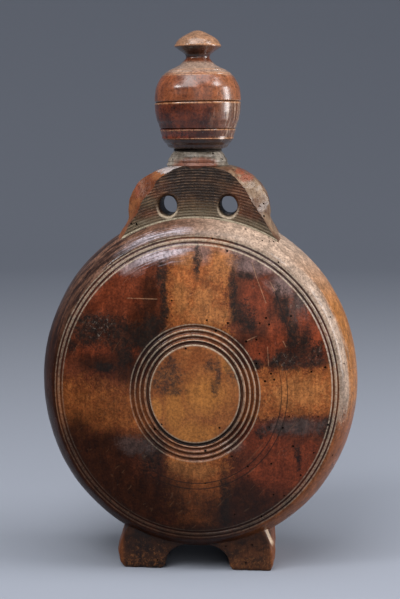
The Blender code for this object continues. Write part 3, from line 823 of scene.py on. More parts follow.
wood = start_wood("carved_wood")
wood.draw_on(flattened(ragged(wood.place, 90.0, 0.004)), on_lug)
specks = peppered(wood.place, 260.0)
mottle = ramp(wood.grain["Mottle"], 0.4, 0.6)
orange = blend_colour(mottle, (0.12, 0.034, 0.013), (0.22, 0.078, 0.028))
cream = blend_colour(mottle, (0.10, 0.050, 0.028), (0.22, 0.14, 0.085))
wood.start(ramp(parts(ragged(wood.place, 60.0, 0.012))[0], -0.010, 0.008), orange, cream)
# A painted white highlight along the bevel tops.
wood.lay(wood.ovals(BEVEL_HIGHLIGHTS, specks, 2.4, 0.3) * 0.75, HIGHLIGHT_WHITE)
wood.lay(wood.ovals(BEVEL_CHIPPED, specks, 1.6, 0.3) * 0.75, CHIP_RED)
flecks = ramp(speckle(wood.place, 520.0, 4.0, 0.78), 0.56, 0.66)
wood.lay(flecks * 0.6, RED_BROWN)
wood.add_grain(0.2, 0.3)
carved_wood = wood.finish((0.28, 0.46), wood.grain["Relief"] - flecks, 0.18 * MM, 0.2, 0.22)

# %% [markdown]
# The feet are nearly black, rubbed orange in specks and at their outer ends, with the orange low down partly
# a painted highlight, and painted lighter on the right, where the light falls. A painted highlight runs up the
# sharp edge of the right foot.

# %% Foot wood
FOOT_LINE_LEAN = 0.42
FOOT_LINE_AT = 0.0560
FOOT_RUBBED_AND_LIT = (0.22, 0.085, 0.028)
FOOT_EDGE_HIGHLIGHT = (0.62, 0.46, 0.33)

wood = start_wood("foot_wood")
across, depth, up = parts(wood.place)
mottle = ramp(speckle(wood.place, 150.0, 5.0, 0.65, 0.5), 0.38, 0.62)
wood.start(mottle, (0.013, 0.0042, 0.0014), (0.040, 0.013, 0.0045))
# Painted light: lighter towards the right, where the light falls.
wood.tone(ramp(across, -0.01, 0.04), 0.0, 1.0, 1.0, 2.4)
# Rubbed orange specks, more of them low down, where they are partly a painted highlight.
rubbed_and_lit_low = speckle(wood.place, 420.0, 5.0, 0.8) + ramp(up, 0.024, 0.002) * 0.09
wood.lay(ramp(rubbed_and_lit_low, 0.56, 0.70) * 0.6, FOOT_RUBBED_AND_LIT)
wood.lay(ramp(speckle(wood.place, 1100.0, 3.0, 0.7), 0.57, 0.66) * 0.5, GROOVE_BLACK)
wood.lay(ramp(calc("ABSOLUTE", across), 0.0465, 0.0495) * 0.5, ORANGE)
# A painted highlight on the sharp edge of the right foot.
away = off(across + up * FOOT_LINE_LEAN, FOOT_LINE_AT)
lit_line = ramp(away, 0.0011, 0.0004) * ramp(up, 0.015, 0.020) * ramp(depth, -0.012, -0.016)
wood.lay(lit_line * 0.9, FOOT_EDGE_HIGHLIGHT)
wood.add_grain(0.2, 0.3)
foot_wood = wood.finish((0.4, 0.6), wood.grain["Relief"] - wood.scratches, 0.2 * MM, 0.12, 0.3)

# %% [markdown]
# The neck's collar is greyed by drink and dust, with a reddish nose below it in front. Inside, where no hand
# or polish came, the wood is dark and dull.

# %% Collar and hollow wood
NOSE_RED = (0.13, 0.036, 0.016)

wood = start_wood("collar_wood")
_, depth, up = parts(ragged(wood.place, 90.0, 0.008))
wood.start(ramp(wood.grain["Mottle"], 0.4, 0.6), (0.085, 0.066, 0.048), (0.26, 0.22, 0.18))
wood.lay(ramp(depth, -0.012, -0.0165) * ramp(up, 0.2665, 0.2635) * 0.9, NOSE_RED)
wood.add_grain(0.3, 0.6)
collar_wood = wood.finish((0.32, 0.52), wood.grain["Relief"], 0.2 * MM, 0.2, 0.25)

wood = start_wood("hollow_wood")
wood.start(ramp(wood.grain["Mottle"], 0.35, 0.65), (0.016, 0.010, 0.007), (0.05, 0.026, 0.015))
wood.add_grain(0.25, 0.5)
hollow_wood = wood.finish((0.6, 0.8), wood.grain["Relief"], 0.15 * MM)

# %% [markdown]
# ## Tools of the workshop
#
# A turned form is a profile spun round an axis with bmesh.ops.spin, as a lathe does. A carved form is a loft
# between outlines, made with bridge_loops. Both are weathered by moving their points a little along their
# normals with noise, because no old surface is true.

# %% Turning, weathering and carving
SHARP = math.radians(32)


def spin_profile(profile, axis, steps, closed=False, tall=1.0):
    """Spins (radius, place along the axis) points a full turn, and may then stretch the form upwards."""
    form = bmesh.new()
    along = Vector(axis)
    chain = [form.verts.new(Vector((radius, 0, 0)) + along * place) for radius, place in profile]
    links = list(zip(chain, chain[1:]))
    if closed:
        links.append((chain[-1], chain[0]))
    edges = [form.edges.new(pair) for pair in links]
    bmesh.ops.spin(
        form, geom=chain + edges, cent=(0, 0, 0), axis=along, dvec=(0, 0, 0),
        angle=math.tau, steps=steps, use_merge=True, use_duplicate=False,
    )
    bmesh.ops.remove_doubles(form, verts=form.verts, dist=0.002 * MM)
    bmesh.ops.recalc_face_normals(form, faces=form.faces)
    bmesh.ops.scale(form, vec=(1, 1, tall), verts=form.verts)
    return form


def weather(form, depth, size):
    """Moves every point along its normal by noise."""
    form.normal_update()
    shifts = [(vert, vert.normal * depth * noise.noise(vert.co / size)) for vert in form.verts]
    for vert, shift in shifts:
        vert.co += shift


def make_piece(name, form, material, place=(0, 0, 0)):
    """A mesh object at the origin, with its place in its mesh."""
    bmesh.ops.translate(form, vec=place, verts=form.verts)
    mesh = bpy.data.meshes.new(name)
    form.to_mesh(mesh)
    form.free()
    mesh.shade_smooth()
    mesh.set_sharp_from_angle(angle=SHARP)
    mesh.materials.append(material)
    piece = bpy.data.objects.new(name, mesh)
    bpy.context.scene.collection.objects.link(piece)
    print(name, "starts with", len(mesh.polygons), "faces")
    return piece


def superellipse(half_width, rise, exponent, steps):
    """Points from (half_width, 0) round to (0, rise)."""
    turns = [math.pi / 2 * step / steps for step in range(steps)]
    power = 2 / exponent
    return [(half_width * math.cos(t) ** power, rise * math.sin(t) ** power) for t in turns] + [(0.0, rise)]


def mirrored(right_half):
    """Closes an outline by mirroring points that run from low right to top centre."""
    return right_half + [(-x, z) for x, z in reversed(right_half) if x > 0.01 * MM]


def loft(sections):
    """A solid between outlines of (x, z) points, each at its own y."""
    form = bmesh.new()
    rings = []
    for points, depth in sections:
        verts = [form.verts.new((x, depth, z)) for x, z in points]
        edges = [form.edges.new((a, b)) for a, b in zip(verts, verts[1:] + verts[:1])]
        rings.append((verts, edges))
    for (_, near), (_, far) in zip(rings, rings[1:]):
        bmesh.ops.bridge_loops(form, edges=near + far)
    form.faces.new(rings[0][0])
    form.faces.new(rings[-1][0])
    bmesh.ops.recalc_face_normals(form, faces=form.faces)
    return form


def halfway(first, second, share):
    """An outline between two outlines."""
    return [(a + (c - a) * share, b + (d - b) * share) for (a, b), (c, d) in zip(first, second)]


# %% [markdown]
# Joining and hollowing is done with exact Booleans that carry each tool's own material on to the faces that
# it cuts. Bent many-sided faces and slivers can lead them astray, so both meshes are split into triangles and
# cleared of slivers first. A result whose volume can't be right is made again, with the tool moved a hair.

# %% Joining and cutting
SLIVER = 0.002 * MM
TRIES = 5
HAIR = (0.007 * MM, 0.011 * MM, 0.013 * MM)


def triangulate(piece):
    """Splits a piece's faces into triangles and clears slivers."""
    form = bmesh.new()
    form.from_mesh(piece.data)
    bmesh.ops.triangulate(form, faces=form.faces)
    bmesh.ops.dissolve_degenerate(form, edges=form.edges, dist=SLIVER)
    bmesh.ops.triangulate(form, faces=form.faces)
    form.to_mesh(piece.data)
    form.free()


def volume(mesh):
    """The space that a closed mesh takes up."""
    form = bmesh.new()
    form.from_mesh(mesh)
    space = form.calc_volume()
    form.free()
    return space


def is_sound(operation, before, tool, after):
    """Whether the result's volume can be right. An exact Boolean now and then loses a piece."""
    if operation == "UNION":
        return max(before, tool) < after < before + tool
    if operation == "DIFFERENCE":
        return before - 1.001 * tool <= after < before
    return 0 < after < min(before, tool)


def boolean(piece, operation, tools):
    """Joins, cuts or keeps what is common with each tool in turn, and then takes the tool away."""
    for tool in tools:
        triangulate(piece)
        triangulate(tool)
        step = piece.modifiers.new(tool.name, "BOOLEAN")
        step.object = tool
        step.operation = operation
        step.solver = "EXACT"
        step.material_mode = "TRANSFER"
        before, other = volume(piece.data), volume(tool.data)
        for _ in range(TRIES):
            bpy.context.view_layer.update()
            graph = bpy.context.evaluated_depsgraph_get()
            result = bpy.data.meshes.new_from_object(piece.evaluated_get(graph))
            if is_sound(operation, before, other, volume(result)):
                break
            print(piece.name, operation.lower(), tool.name, "went wrong, so the tool moves a hair")
            tool.data.transform(Matrix.Translation(HAIR))
        piece.modifiers.clear()
        piece.data = result
        print(piece.name, operation.lower(), tool.name, "->", len(result.polygons), "faces")
        bpy.data.objects.remove(tool, do_unlink=True)
    piece.data.set_sharp_from_angle(angle=SHARP)


# %% [markdown]
# ## The disc
#
# The wheel of the body, as it came off the lathe: two domed faces with their rings, and a round rim.

# %% Turn the disc
DISC_STEPS = 192
FACE_STEPS = 30
RIM_STEPS = 14
rim = rim_profile(RIM_STEPS)
front = [(radius, -depth) for radius, depth in rim + face_profile(FRONT_RINGS, FACE_STEPS)]
back = rim + face_profile(ALL_RINGS, FACE_STEPS)
disc = spin_profile(front[::-1] + [(HALF_WIDTH, 0.0)] + back, OUTWARD, DISC_STEPS, tall=TALLNESS)
weather(disc, 0.30 * MM, 26 * MM)
weather(disc, 0.07 * MM, 5 * MM)
body = make_piece("flask_block", disc, turned_wood, CENTRE)

# %% [markdown]
# ## The shoulder lug
#
# The lug is what two shapes have in common. One is the arch that was carved: its outline, with a broad bevel
# on each side that is never quite even. The other is a slice of the flange that the lathe left round the
# disc, with its faces covered in ridges. The strap holes are cut while the lug is still loose, where a
# Boolean has little to get wrong. A strap has worn their mouths wide.

# %% The lug's sizes
LUG_SHIFT = 0.1 * MM
LUG_TOP_Z = DISC_TOP_Z + 29.6 * MM
LUG_SPRING_Z = DISC_TOP_Z - 3.4 * MM
LUG_FOOT_DROP = 20 * MM
LUG_HALF_WIDTH = 44.7 * MM
LUG_FLARE = 12 * MM
LUG_EDGE_HALF_THICKNESS = 11 * MM
PANEL_EDGE = (
    (53.3, -23.4), (45.8, -12.1), (41.4, -5.0), (37.0, 2.2), (32.8, 9.0), (28.6, 15.3), (24.3, 20.9),
    (19.5, 24.2), (15.2, 26.5), (8.5, 28.6), (0.0, 29.2),
)
ARCH_STEPS = 44
JAMB_STEPS = 16
BEVEL_STEPS = 6
PROUD_SHARE = 0.16
FLANGE_HALF_ANGLE = math.radians(38)
FLANGE_SHARES = (0.84, 1.36)
FLANGE_STEPS = 84
RIPPLE_DEPTH = 0.13 * MM
RIPPLE_SAMPLES = 4
WORN_EDGE_SHARES = (
    (1.0, 0.0), (1.0, 0.78), (1.03, 0.88), (1.09, 0.94), (1.2, 0.985), (1.45, 1.03), (1.7, 1.09),
)

# %% Carve the arch


def lug_half():
    """The right half of the lug's silhouette, from its flared foot round the arch."""
    arch = superellipse(LUG_HALF_WIDTH, LUG_TOP_Z - LUG_SPRING_Z, 2.5, ARCH_STEPS)
    shares = [1 - step / JAMB_STEPS for step in range(JAMB_STEPS)]
    flare = [(LUG_HALF_WIDTH + LUG_FLARE * s ** 1.3, LUG_SPRING_Z - LUG_FOOT_DROP * s) for s in shares]
    return flare + [(x, LUG_SPRING_Z + z) for x, z in arch]


def lengths_along(points):
    """How far each point lies along a chain."""
    steps = [math.dist(a, b) for a, b in zip(points, points[1:])]
    return [sum(steps[:n]) for n in range(len(points))]


def panel_outline(silhouette_half):
    """The flat panel's edge, with its points spread as the silhouette's are."""
    edge = [(x * MM, DISC_TOP_Z + z * MM) for x, z in PANEL_EDGE]
    marks, lengths = lengths_along(edge), lengths_along(silhouette_half)
    right_half = []
    for share in (length / lengths[-1] for length in lengths):
        length = share * marks[-1]
        step = max(n for n in range(len(edge) - 1) if marks[n] <= length + 1e-9)
        part = (length - marks[step]) / (marks[step + 1] - marks[step])
        right_half += halfway([edge[step]], [edge[step + 1]], part)
    return mirrored(right_half)


def carved_lug():
    """The arch with its bevels, a little thicker than the flange so that the flange gives the panels."""
    silhouette, panel = mirrored(lug_half()), panel_outline(lug_half())
    step_back = LUG_HALF_THICKNESS - LUG_EDGE_HALF_THICKNESS
    shares = [(1 + PROUD_SHARE) * step / BEVEL_STEPS for step in range(BEVEL_STEPS + 1)]
    bevel = [(halfway(silhouette, panel, s), LUG_EDGE_HALF_THICKNESS + step_back * s) for s in shares]
    edge = [(silhouette, LUG_EDGE_HALF_THICKNESS * share) for share in (-0.5, 0.0, 0.5)]
    form = loft([(points, -depth) for points, depth in reversed(bevel)] + edge + bevel)
    weather(form, 0.9 * MM, 11 * MM)
    weather(form, 0.35 * MM, 3.5 * MM)
    return form


# %% Turn the flange and cut the strap holes


def ripple(radius):
    """The height of the coarse tool's ridges at a radius."""
    return RIPPLE_DEPTH * math.sin(math.tau * radius / RIPPLE_PITCH)


def turned_flange(inner, outer, half_thickness):
    """A sector of the flange round the disc, ridged on both faces."""
    step = RIPPLE_PITCH / RIPPLE_SAMPLES
    radii = [inner + step * n for n in range(int((outer - inner) / step))]
    form = bmesh.new()
    front = [form.verts.new((r, -half_thickness - ripple(r), 0)) for r in radii]
    back = [form.verts.new((r, half_thickness + ripple(r), 0)) for r in reversed(radii)]
    profile = form.faces.new(front + back)
    start = Matrix.Rotation(-(math.pi / 2 - FLANGE_HALF_ANGLE), 3, "Y")
    bmesh.ops.rotate(form, verts=form.verts, cent=(0, 0, 0), matrix=start)
    bmesh.ops.spin(
        form, geom=[profile], cent=(0, 0, 0), axis=(0, -1, 0), dvec=(0, 0, 0),
        angle=2 * FLANGE_HALF_ANGLE, steps=FLANGE_STEPS, use_merge=False, use_duplicate=False,
    )
    bmesh.ops.recalc_face_normals(form, faces=form.faces)
    bmesh.ops.scale(form, vec=(1, 1, TALLNESS), verts=form.verts)
    weather(form, 0.22 * MM, 4 * MM)
    return form


def strap_hole_tool(side):
    """A hole worn wider at both mouths."""
    ends = [(STRAP_HOLE_RADIUS * wide, LUG_HALF_THICKNESS * out) for wide, out in WORN_EDGE_SHARES]
    profile = [(0.0, -ends[-1][1])] + [(r, -out) for r, out in reversed(ends[1:])]
    profile += ends + [(0.0, ends[-1][1])]
    form = spin_profile(profile, OUTWARD, 64, tall=STRAP_HOLE_TALLNESS)
    weather(form, 0.35 * MM, 4 * MM)
    return make_piece("strap_hole", form, tool_marked_wood, (side * STRAP_HOLE_OFFSET, 0, STRAP_HOLE_Z))


lug = make_piece("lug", carved_lug(), carved_wood, (LUG_SHIFT, 0, 0))
flange_form = turned_flange(*(HALF_WIDTH * share for share in FLANGE_SHARES), LUG_HALF_THICKNESS)
boolean(lug, "INTERSECT", [make_piece("flange", flange_form, tool_marked_wood, CENTRE)])
boolean(lug, "DIFFERENCE", [strap_hole_tool(side) for side in (-1, 1)])

# %% [markdown]
# ## The neck
#
# A short collar, turned after the flask was set up the other way in the lathe, so it stands a little to one
# side. Its lip is rounded by use, and two fine lines run round it.

# %% Turn the neck
NECK_ROOT_RADIUS = 19.9 * MM
NECK_LIP_RADIUS = 15.9 * MM
NECK_ROOT_Z = LUG_TOP_Z - 0.7 * MM
NECK_SINK = 6 * MM
COLLAR_SHARES = (
    (1.0, 0.0), (0.93, 0.05), (0.83, 0.12), (0.76, 0.19), (0.69, 0.225), (0.75, 0.26), (0.73, 0.33),
    (0.66, 0.43), (0.52, 0.52), (0.39, 0.585), (0.33, 0.615), (0.36, 0.65), (0.29, 0.72), (0.18, 0.80),
    (0.06, 0.87),
    (0.0, 0.90), (-0.06, 0.96), (-0.18, 1.0),
)
neck_profile = [(0.0, NECK_ROOT_Z - NECK_SINK), (NECK_LIP_RADIUS, NECK_ROOT_Z - NECK_SINK)]
neck_profile += [
    (NECK_LIP_RADIUS + (NECK_ROOT_RADIUS - NECK_LIP_RADIUS) * across, NECK_ROOT_Z + (MOUTH_Z - NECK_ROOT_Z) * up)
    for across, up in COLLAR_SHARES
]
neck_form = spin_profile(neck_profile + [(0.0, MOUTH_Z)], UPWARD, 96)
weather(neck_form, 0.12 * MM, 6 * MM)
neck = make_piece("neck", neck_form, collar_wood, (SCREW_X, 0, 0))

# %% [markdown]
# ## The feet
#
# One block under the disc, sawn to an arch and rounded by wear. A voxel Remesh turns the block into even
# small squares and softens its corners, and noise then gives it the chisel's unevenness.

# %% Carve the feet
FOOT_HALF_THICKNESS = 23.6 * MM
FOOT_EDGE_HALF_THICKNESS = 17 * MM
RIGHT_FOOT = ((48.6, 0.0), (49.9, 4.5), (50.2, 12.0), (49.3, 19.0), (45.8, 29.5))
LEFT_FOOT = ((48.6, 0.0), (51.2, 3.5), (52.8, 10.0), (52.0, 16.5), (47.6, 29.5))
FOOT_TOP_BEVEL = 3.5 * MM
FOOT_HEEL_BEVEL = 1.2 * MM
FOOT_ARCH_HALF_WIDTH = 20.8 * MM
FOOT_ARCH_HEIGHT = 17 * MM
FOOT_TOE_CUT = 2.4 * MM
FOOT_VOXEL = 1.25 * MM


def foot_outline(top_bevel, heel_bevel):
    """The block's outer edges, drawn in by the bevels of its outer corners."""
    drawn_in = [heel_bevel + (top_bevel - heel_bevel) * share for share in (0.0, 0.0, 0.25, 0.6, 1.0)]
    right = [(x * MM - less, z * MM) for (x, z), less in zip(RIGHT_FOOT, drawn_in)]
    left = [(less - x * MM, z * MM) for (x, z), less in zip(LEFT_FOOT, drawn_in)]
    return right + left[::-1]


def foot_block():
    """The block before the arch is sawn out, with its outer corners bevelled."""
    thin, full = foot_outline(FOOT_TOP_BEVEL, FOOT_HEEL_BEVEL), foot_outline(0.0, 0.0)
    return loft([
        (thin, -FOOT_HALF_THICKNESS), (full, -FOOT_EDGE_HALF_THICKNESS),
        (full, FOOT_EDGE_HALF_THICKNESS), (thin, FOOT_HALF_THICKNESS),
    ])


def foot_arch():
    """The arch between the feet, with their toes cut back a little."""
    arch = superellipse(FOOT_ARCH_HALF_WIDTH, FOOT_ARCH_HEIGHT - FOOT_TOE_CUT, 2.3, ARCH_STEPS)
    toe = FOOT_ARCH_HALF_WIDTH + FOOT_TOE_CUT
    outline = mirrored([(toe, -FOOT_TOE_CUT), (toe, 0.0)] + [(x, FOOT_TOE_CUT + z) for x, z in arch])
    reach = FOOT_HALF_THICKNESS * 1.3
    return loft([(outline, -reach), (outline, reach)])


rough_feet = make_piece("feet", foot_block(), foot_wood)
boolean(rough_feet, "DIFFERENCE", [make_piece("foot_arch", foot_arch(), foot_wood)])
remesh = rough_feet.modifiers.new("even squares", "REMESH")
remesh.mode = "VOXEL"
remesh.voxel_size = FOOT_VOXEL
bpy.context.view_layer.update()
feet_form = bmesh.new()
feet_form.from_object(rough_feet, bpy.context.evaluated_depsgraph_get())
bpy.data.objects.remove(rough_feet, do_unlink=True)
bmesh.ops.smooth_vert(
    feet_form, verts=feet_form.verts, factor=0.5, use_axis_x=True, use_axis_y=True, use_axis_z=True,
)
weather(feet_form, 0.45 * MM, 8 * MM)
weather(feet_form, 0.15 * MM, 2.5 * MM)
for vert in feet_form.verts:
    vert.co.z = max(vert.co.z, 0.0)
feet = make_piece("feet", feet_form, foot_wood)

# %% Join the block
boolean(body, "UNION", [lug, neck, feet])

# %% [markdown]
# ## The thread, the hollow and the bore
#
# The screw thread is a ridge that winds up one pitch in each turn. Spinning an up-and-down chain of points
# while it climbs one pitch makes the whole thread at once: the end of each turn meets the start of the next.
# The neck's thread is cut with the same shape made a little larger, so the two always mesh.

# %% Thread
PITCH = 5 * MM
SHANK_RADIUS = 9.5 * MM
THREAD_DEPTH = 1.5 * MM
THREAD_STEPS = 72
THREAD_SHARES = ((0.0, 1.0), (0.16, 1.0), (0.5, 0.0), (0.66, 0.0))


def threaded_rod(crest, bottom, top):
    """A screw from bottom to top, its ridge reaching out to crest, right-handed."""
    first = math.floor(bottom / PITCH) - 1
    count = math.ceil((top - bottom) / PITCH) + 3
    form = bmesh.new()
    chain = [
        form.verts.new((crest - THREAD_DEPTH * (1 - out), 0, (first + turn + share) * PITCH))
        for turn in range(count) for share, out in THREAD_SHARES
    ]
    edges = [form.edges.new(pair) for pair in zip(chain, chain[1:])]
    bmesh.ops.spin(
        form, geom=chain + edges, cent=(0, 0, 0), axis=UPWARD, dvec=(0, 0, PITCH / THREAD_STEPS),
        angle=math.tau, steps=THREAD_STEPS, use_merge=False, use_duplicate=False,
    )
    bmesh.ops.remove_doubles(form, verts=form.verts, dist=0.02 * MM)
    for height, direction in ((bottom, -1), (top, 1)):
        bmesh.ops.bisect_plane(
            form, geom=form.verts[:] + form.edges[:] + form.faces[:], plane_co=(0, 0, height),
            plane_no=(0, 0, direction), clear_outer=True,
        )
    bmesh.ops.holes_fill(form, edges=[edge for edge in form.edges if edge.is_boundary], sides=0)
    bmesh.ops.recalc_face_normals(form, faces=form.faces)
    return form


# %% [markdown]
# The hollow is lens-shaped, so that the wall stays even. The front has a stepped hole, in which the closing
# disc rests on a ledge, and the bore runs down the neck, threaded at its mouth.

# %% Cut the hollow, the opening and the bore
FACE_WALL = 10.5 * MM
RIM_WALL = 11 * MM
OPENING_RADIUS = 24.8 * MM
OPENING_LIP = 0.5 * MM
BORE_RADIUS = SHANK_RADIUS + FIT
THREAD_LENGTH = 26 * MM
OVERRUN = 3 * MM


def hollow_tool():
    """The lens-shaped hollow."""
    quarter = superellipse(HALF_WIDTH - RIM_WALL, HALF_THICKNESS - FACE_WALL, 2.4, 16)
    profile = [(r, -depth) for r, depth in reversed(quarter[1:])] + quarter
    tall = (HALF_HEIGHT - RIM_WALL) / (HALF_WIDTH - RIM_WALL)
    return make_piece("hollow", spin_profile(profile, OUTWARD, 48, tall=tall), hollow_wood, CENTRE)


def opening_tool():
    """The stepped hole in the front face that the closing disc sits in."""
    outside = -HALF_THICKNESS - OVERRUN
    ledge = plug_high.y + FIT
    inside = -HALF_THICKNESS + FACE_WALL + OVERRUN
    face = -dome(HOLE_RADIUS)
    profile = [
        (0.0, outside), (HOLE_RADIUS + OPENING_LIP, outside), (HOLE_RADIUS + OPENING_LIP, face),
        (HOLE_RADIUS, face + OPENING_LIP), (HOLE_RADIUS, ledge), (OPENING_RADIUS, ledge),
        (OPENING_RADIUS, inside), (0.0, inside),
    ]
    return make_piece(
        "opening", spin_profile(profile, OUTWARD, DISC_STEPS, tall=PLUG_TALLNESS), turned_wood, CENTRE,
    )


def plain_bore(name, radius, bottom, top, steps):
    """A plain round cutter on the screw's axis."""
    form = spin_profile([(0.0, bottom), (radius, bottom), (radius, top), (0.0, top)], UPWARD, steps)
    return make_piece(name, form, hollow_wood, (SCREW_X, 0, 0))


thread_foot = MOUTH_Z - THREAD_LENGTH
bore = plain_bore("bore", BORE_RADIUS, DISC_TOP_Z - RIM_WALL - 2 * BORE_RADIUS, thread_foot + OVERRUN, 48)
rod = threaded_rod(BORE_RADIUS, thread_foot, MOUTH_Z + OVERRUN)
thread_cutter = make_piece("thread_cutter", rod, hollow_wood, (SCREW_X, 0, 0))
boolean(body, "DIFFERENCE", [hollow_tool(), opening_tool(), bore, thread_cutter])

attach(body, "flask")
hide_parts("flask_body")

# %% [markdown]
# ## The closing disc and its pitch
#
# The disc in the front face was cut from another board, paler and with stains of its own. Round it the gap
# is filled with pitch, which has sunk and cracked.

# %% Closing disc wood
PLUG_STAINS = [
    (161, 374, 6, 7), (171, 366, 9, 9), (167, 384, 9, 7), (172, 391, 14, 4), (231, 366, 5, 13),
    (218, 376, 3, 14),
    (236, 376, 3, 6), (210, 366, 6, 5), (170, 378, 12, 9), (215, 388, 4, 7), (158, 384, 6, 5),
]
PLUG_GOLD = [
    (192, 434, 26, 11), (157, 410, 5, 10), (228, 366, 5, 6), (204, 396, 22, 16), (175, 410, 10, 22),
]
DEEP_GOLD = (0.42, 0.165, 0.036)
PLUG_STAIN = (0.028, 0.018, 0.014)

wood = start_wood("plug_wood")
centred, _, radius = lathe_places(wood.place, PLUG_TALLNESS)
wood.draw_on(flattened(ragged(centred, 90.0, 0.004)), on_face)
specks = peppered(wood.place)
wood.start(ramp(wood.grain["Mottle"], 0.38, 0.62), (0.21, 0.063, 0.018), (0.285, 0.098, 0.028))
wood.lay(wood.ovals(PLUG_GOLD, specks, 1.2, 0.6) * 0.62, DEEP_GOLD)
patchy = ramp(speckle(wood.place, 420.0, 5.0, 0.8), 0.4, 0.58, 0.35, 0.85)
wood.lay(wood.ovals(PLUG_STAINS, specks, 2.2, 0.6) * patchy, PLUG_STAIN)
wood.add_grain(0.1, 0.15)
fine = speckle(wood.place, 640.0, 3.0, 0.75)
wood.tone(fine, 0.32, 0.68, 0.68, 1.32)
# The closing disc's rounded edge is pale with dust and a painted highlight.
edge = ramp(radius, PLUG_RADIUS * 0.955, PLUG_RADIUS * 0.985)
wood.lay(edge * ramp(fine, 0.35, 0.6, 0.35, 0.9), PALE_DUST_AND_HIGHLIGHT)
plug_wood = wood.finish((0.3, 0.45), wood.grain["Relief"] - wood.scratches, 0.10 * MM, 0.15, 0.28)

# %% Pitch and leather
PITCH_BROWN = (0.060, 0.020, 0.010)
PITCH_DUST = (0.16, 0.085, 0.050)

pitch = Finish("pitch")
pitch.start(ramp(speckle(pitch.place, 130.0, 4.0, 0.7), 0.5, 0.7) * 0.6, PITCH_BROWN, PITCH_DUST)
up = parts(pitch.place)[2]
# Painted shade: the pitch is darker low down, where the gap lies in shadow.
pitch.lay(ramp(up, CENTRE.z - 5 * MM, CENTRE.z - 24 * MM, 0.0, 0.9), GROOVE_BLACK)
lumps = speckle(pitch.place, 420.0, 4.0, 0.6)
pitch_black = pitch.finish(ramp(lumps, 0.3, 0.7, 0.45, 0.75), lumps, 0.6 * MM)

leather = Finish("leather")
pebble = node_on("TexVoronoi", ("Vector", leather.place), ("Scale", 900.0))
worn = ramp(speckle(leather.place, 200.0, 4.0, 0.6), 0.45, 0.65)
leather.start(worn, (0.022, 0.015, 0.011), (0.075, 0.05, 0.034))
washer_leather = leather.finish(ramp(pebble, 0.0, 0.6, 0.55, 0.8), pebble, 0.25 * MM)

# %% Turn the closing disc
PLUG_ROUND = 0.7 * MM
CROWN_STEPS = 24
plug_edge = PLUG_RADIUS - PLUG_ROUND
crown = [(plug_edge * step / CROWN_STEPS, -dome(plug_edge * step / CROWN_STEPS)) for step in range(CROWN_STEPS)]
rounding = [
    (plug_edge + PLUG_ROUND * math.sin(turn), -dome(plug_edge) + PLUG_ROUND * (1 - math.cos(turn)))
    for turn in (0.0, 0.4, 0.8, 1.2, math.pi / 2)
]
plug_profile = crown + rounding + [(PLUG_RADIUS, plug_high.y), (0.0, plug_high.y)]


def roughen(form, above, depth, size):
    """Moves the points of the front in or out by noise, and leaves the hidden side true."""
    for vert in form.verts:
        if vert.co.y < above:
            vert.co.y += depth * noise.noise(vert.co / size)


plug_form = spin_profile(plug_profile, OUTWARD, 144, tall=PLUG_TALLNESS)
roughen(plug_form, plug_high.y - OVERRUN / 2, 0.1 * MM, 12 * MM)
plug = make_piece("closing_disc", plug_form, plug_wood, CENTRE)
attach(plug, "flask")
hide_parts("front_plug")

# %% Pour the pitch
seal_inner = PLUG_RADIUS + FIT
seal_outer = HOLE_RADIUS - FIT
seal_top = -dome(HOLE_RADIUS) + 0.45 * MM
seal_profile = [
    (seal_inner, seal_top - 0.25 * MM), (seal_inner + 0.3 * MM, seal_top + 0.1 * MM),
    ((seal_inner + seal_outer) / 2, seal_top + 0.25 * MM), (seal_outer - 0.3 * MM, seal_top + 0.1 * MM),
    (seal_outer, seal_top - 0.25 * MM), (seal_outer, seal_high.y), (seal_inner, seal_high.y),
]
seal_form = spin_profile(seal_profile, OUTWARD, 144, closed=True, tall=PLUG_TALLNESS)
roughen(seal_form, seal_high.y - 0.5 * MM, 0.25 * MM, 3 * MM)
seal = make_piece("pitch_ring", seal_form, pitch_black, CENTRE)
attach(seal, "flask")
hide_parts("plug_seal")

# %% [markdown]
# ## Beetle holes
#
# Furniture beetles leave round holes one or two millimetres wide. Seventy are aimed from the photograph, and
# bored along the surface's normal with a little lean. More, at seeded places, carry the damage round to the
# back. Holes that would touch another are left out.

# %% Where the beetles came out
BEETLE_HOLES = [
    (136.6, 224), (171.7, 300.7), (167, 317.9), (185.8, 348.5), (264, 216), (245.5, 229), (262.3, 240.6),
    (269.5, 241), (273.7, 241.7), (212.4, 238.5), (227.2, 251), (278.4, 262.2), (266, 318), (291, 316.2),
    (330.4, 317), (259.8, 323.2), (269.1, 324.5), (256.3, 339.7), (246.1, 341.5), (259.4, 353.7),
    (229.8, 354.6),
    (318, 355.8), (256.3, 363.7), (344, 363.6), (271, 373.7), (325.2, 367.3), (311.4, 371.8),
    (350.2, 370.6),
    (274.2, 379.7), (265, 381.2), (257.2, 368.5), (215.9, 330.8), (206.8, 320.2), (227.8, 323.1),
    (219.4, 427.8),
    (289.1, 416.7), (318.1, 416.8), (328.1, 424.9), (282.9, 427.9), (269.5, 427.2), (293.1, 446.3),
    (313.8, 452.8),
    (332.6, 455.3), (231.9, 456.5), (271.3, 463.7), (247.9, 466.6), (247.9, 475.9), (309.9, 470.8),
    (300.8, 475.2),
    (273.6, 494.9), (284.2, 495.7), (287.6, 495.3), (205.3, 483.2), (261.5, 516.4), (271.4, 531),
    (252.1, 545),
    (226, 546.2), (235, 514.6), (245.6, 563), (161.8, 424.2), (205.4, 451.2), (154.6, 429), (157.4, 560),
    (172.6, 159.3), (222.3, 159), (213, 153.5), (263.6, 203.7), (259.8, 206.2), (264.2, 216), (131, 223.5),
]
SEED = 7
HOLE_DEPTH = 4 * MM
HOLE_RADII = (0.55 * MM, 0.8 * MM)
HOLE_SIDES = 9
UNSEEN_HOLES = 34
LEAST_APART = 3 * MM


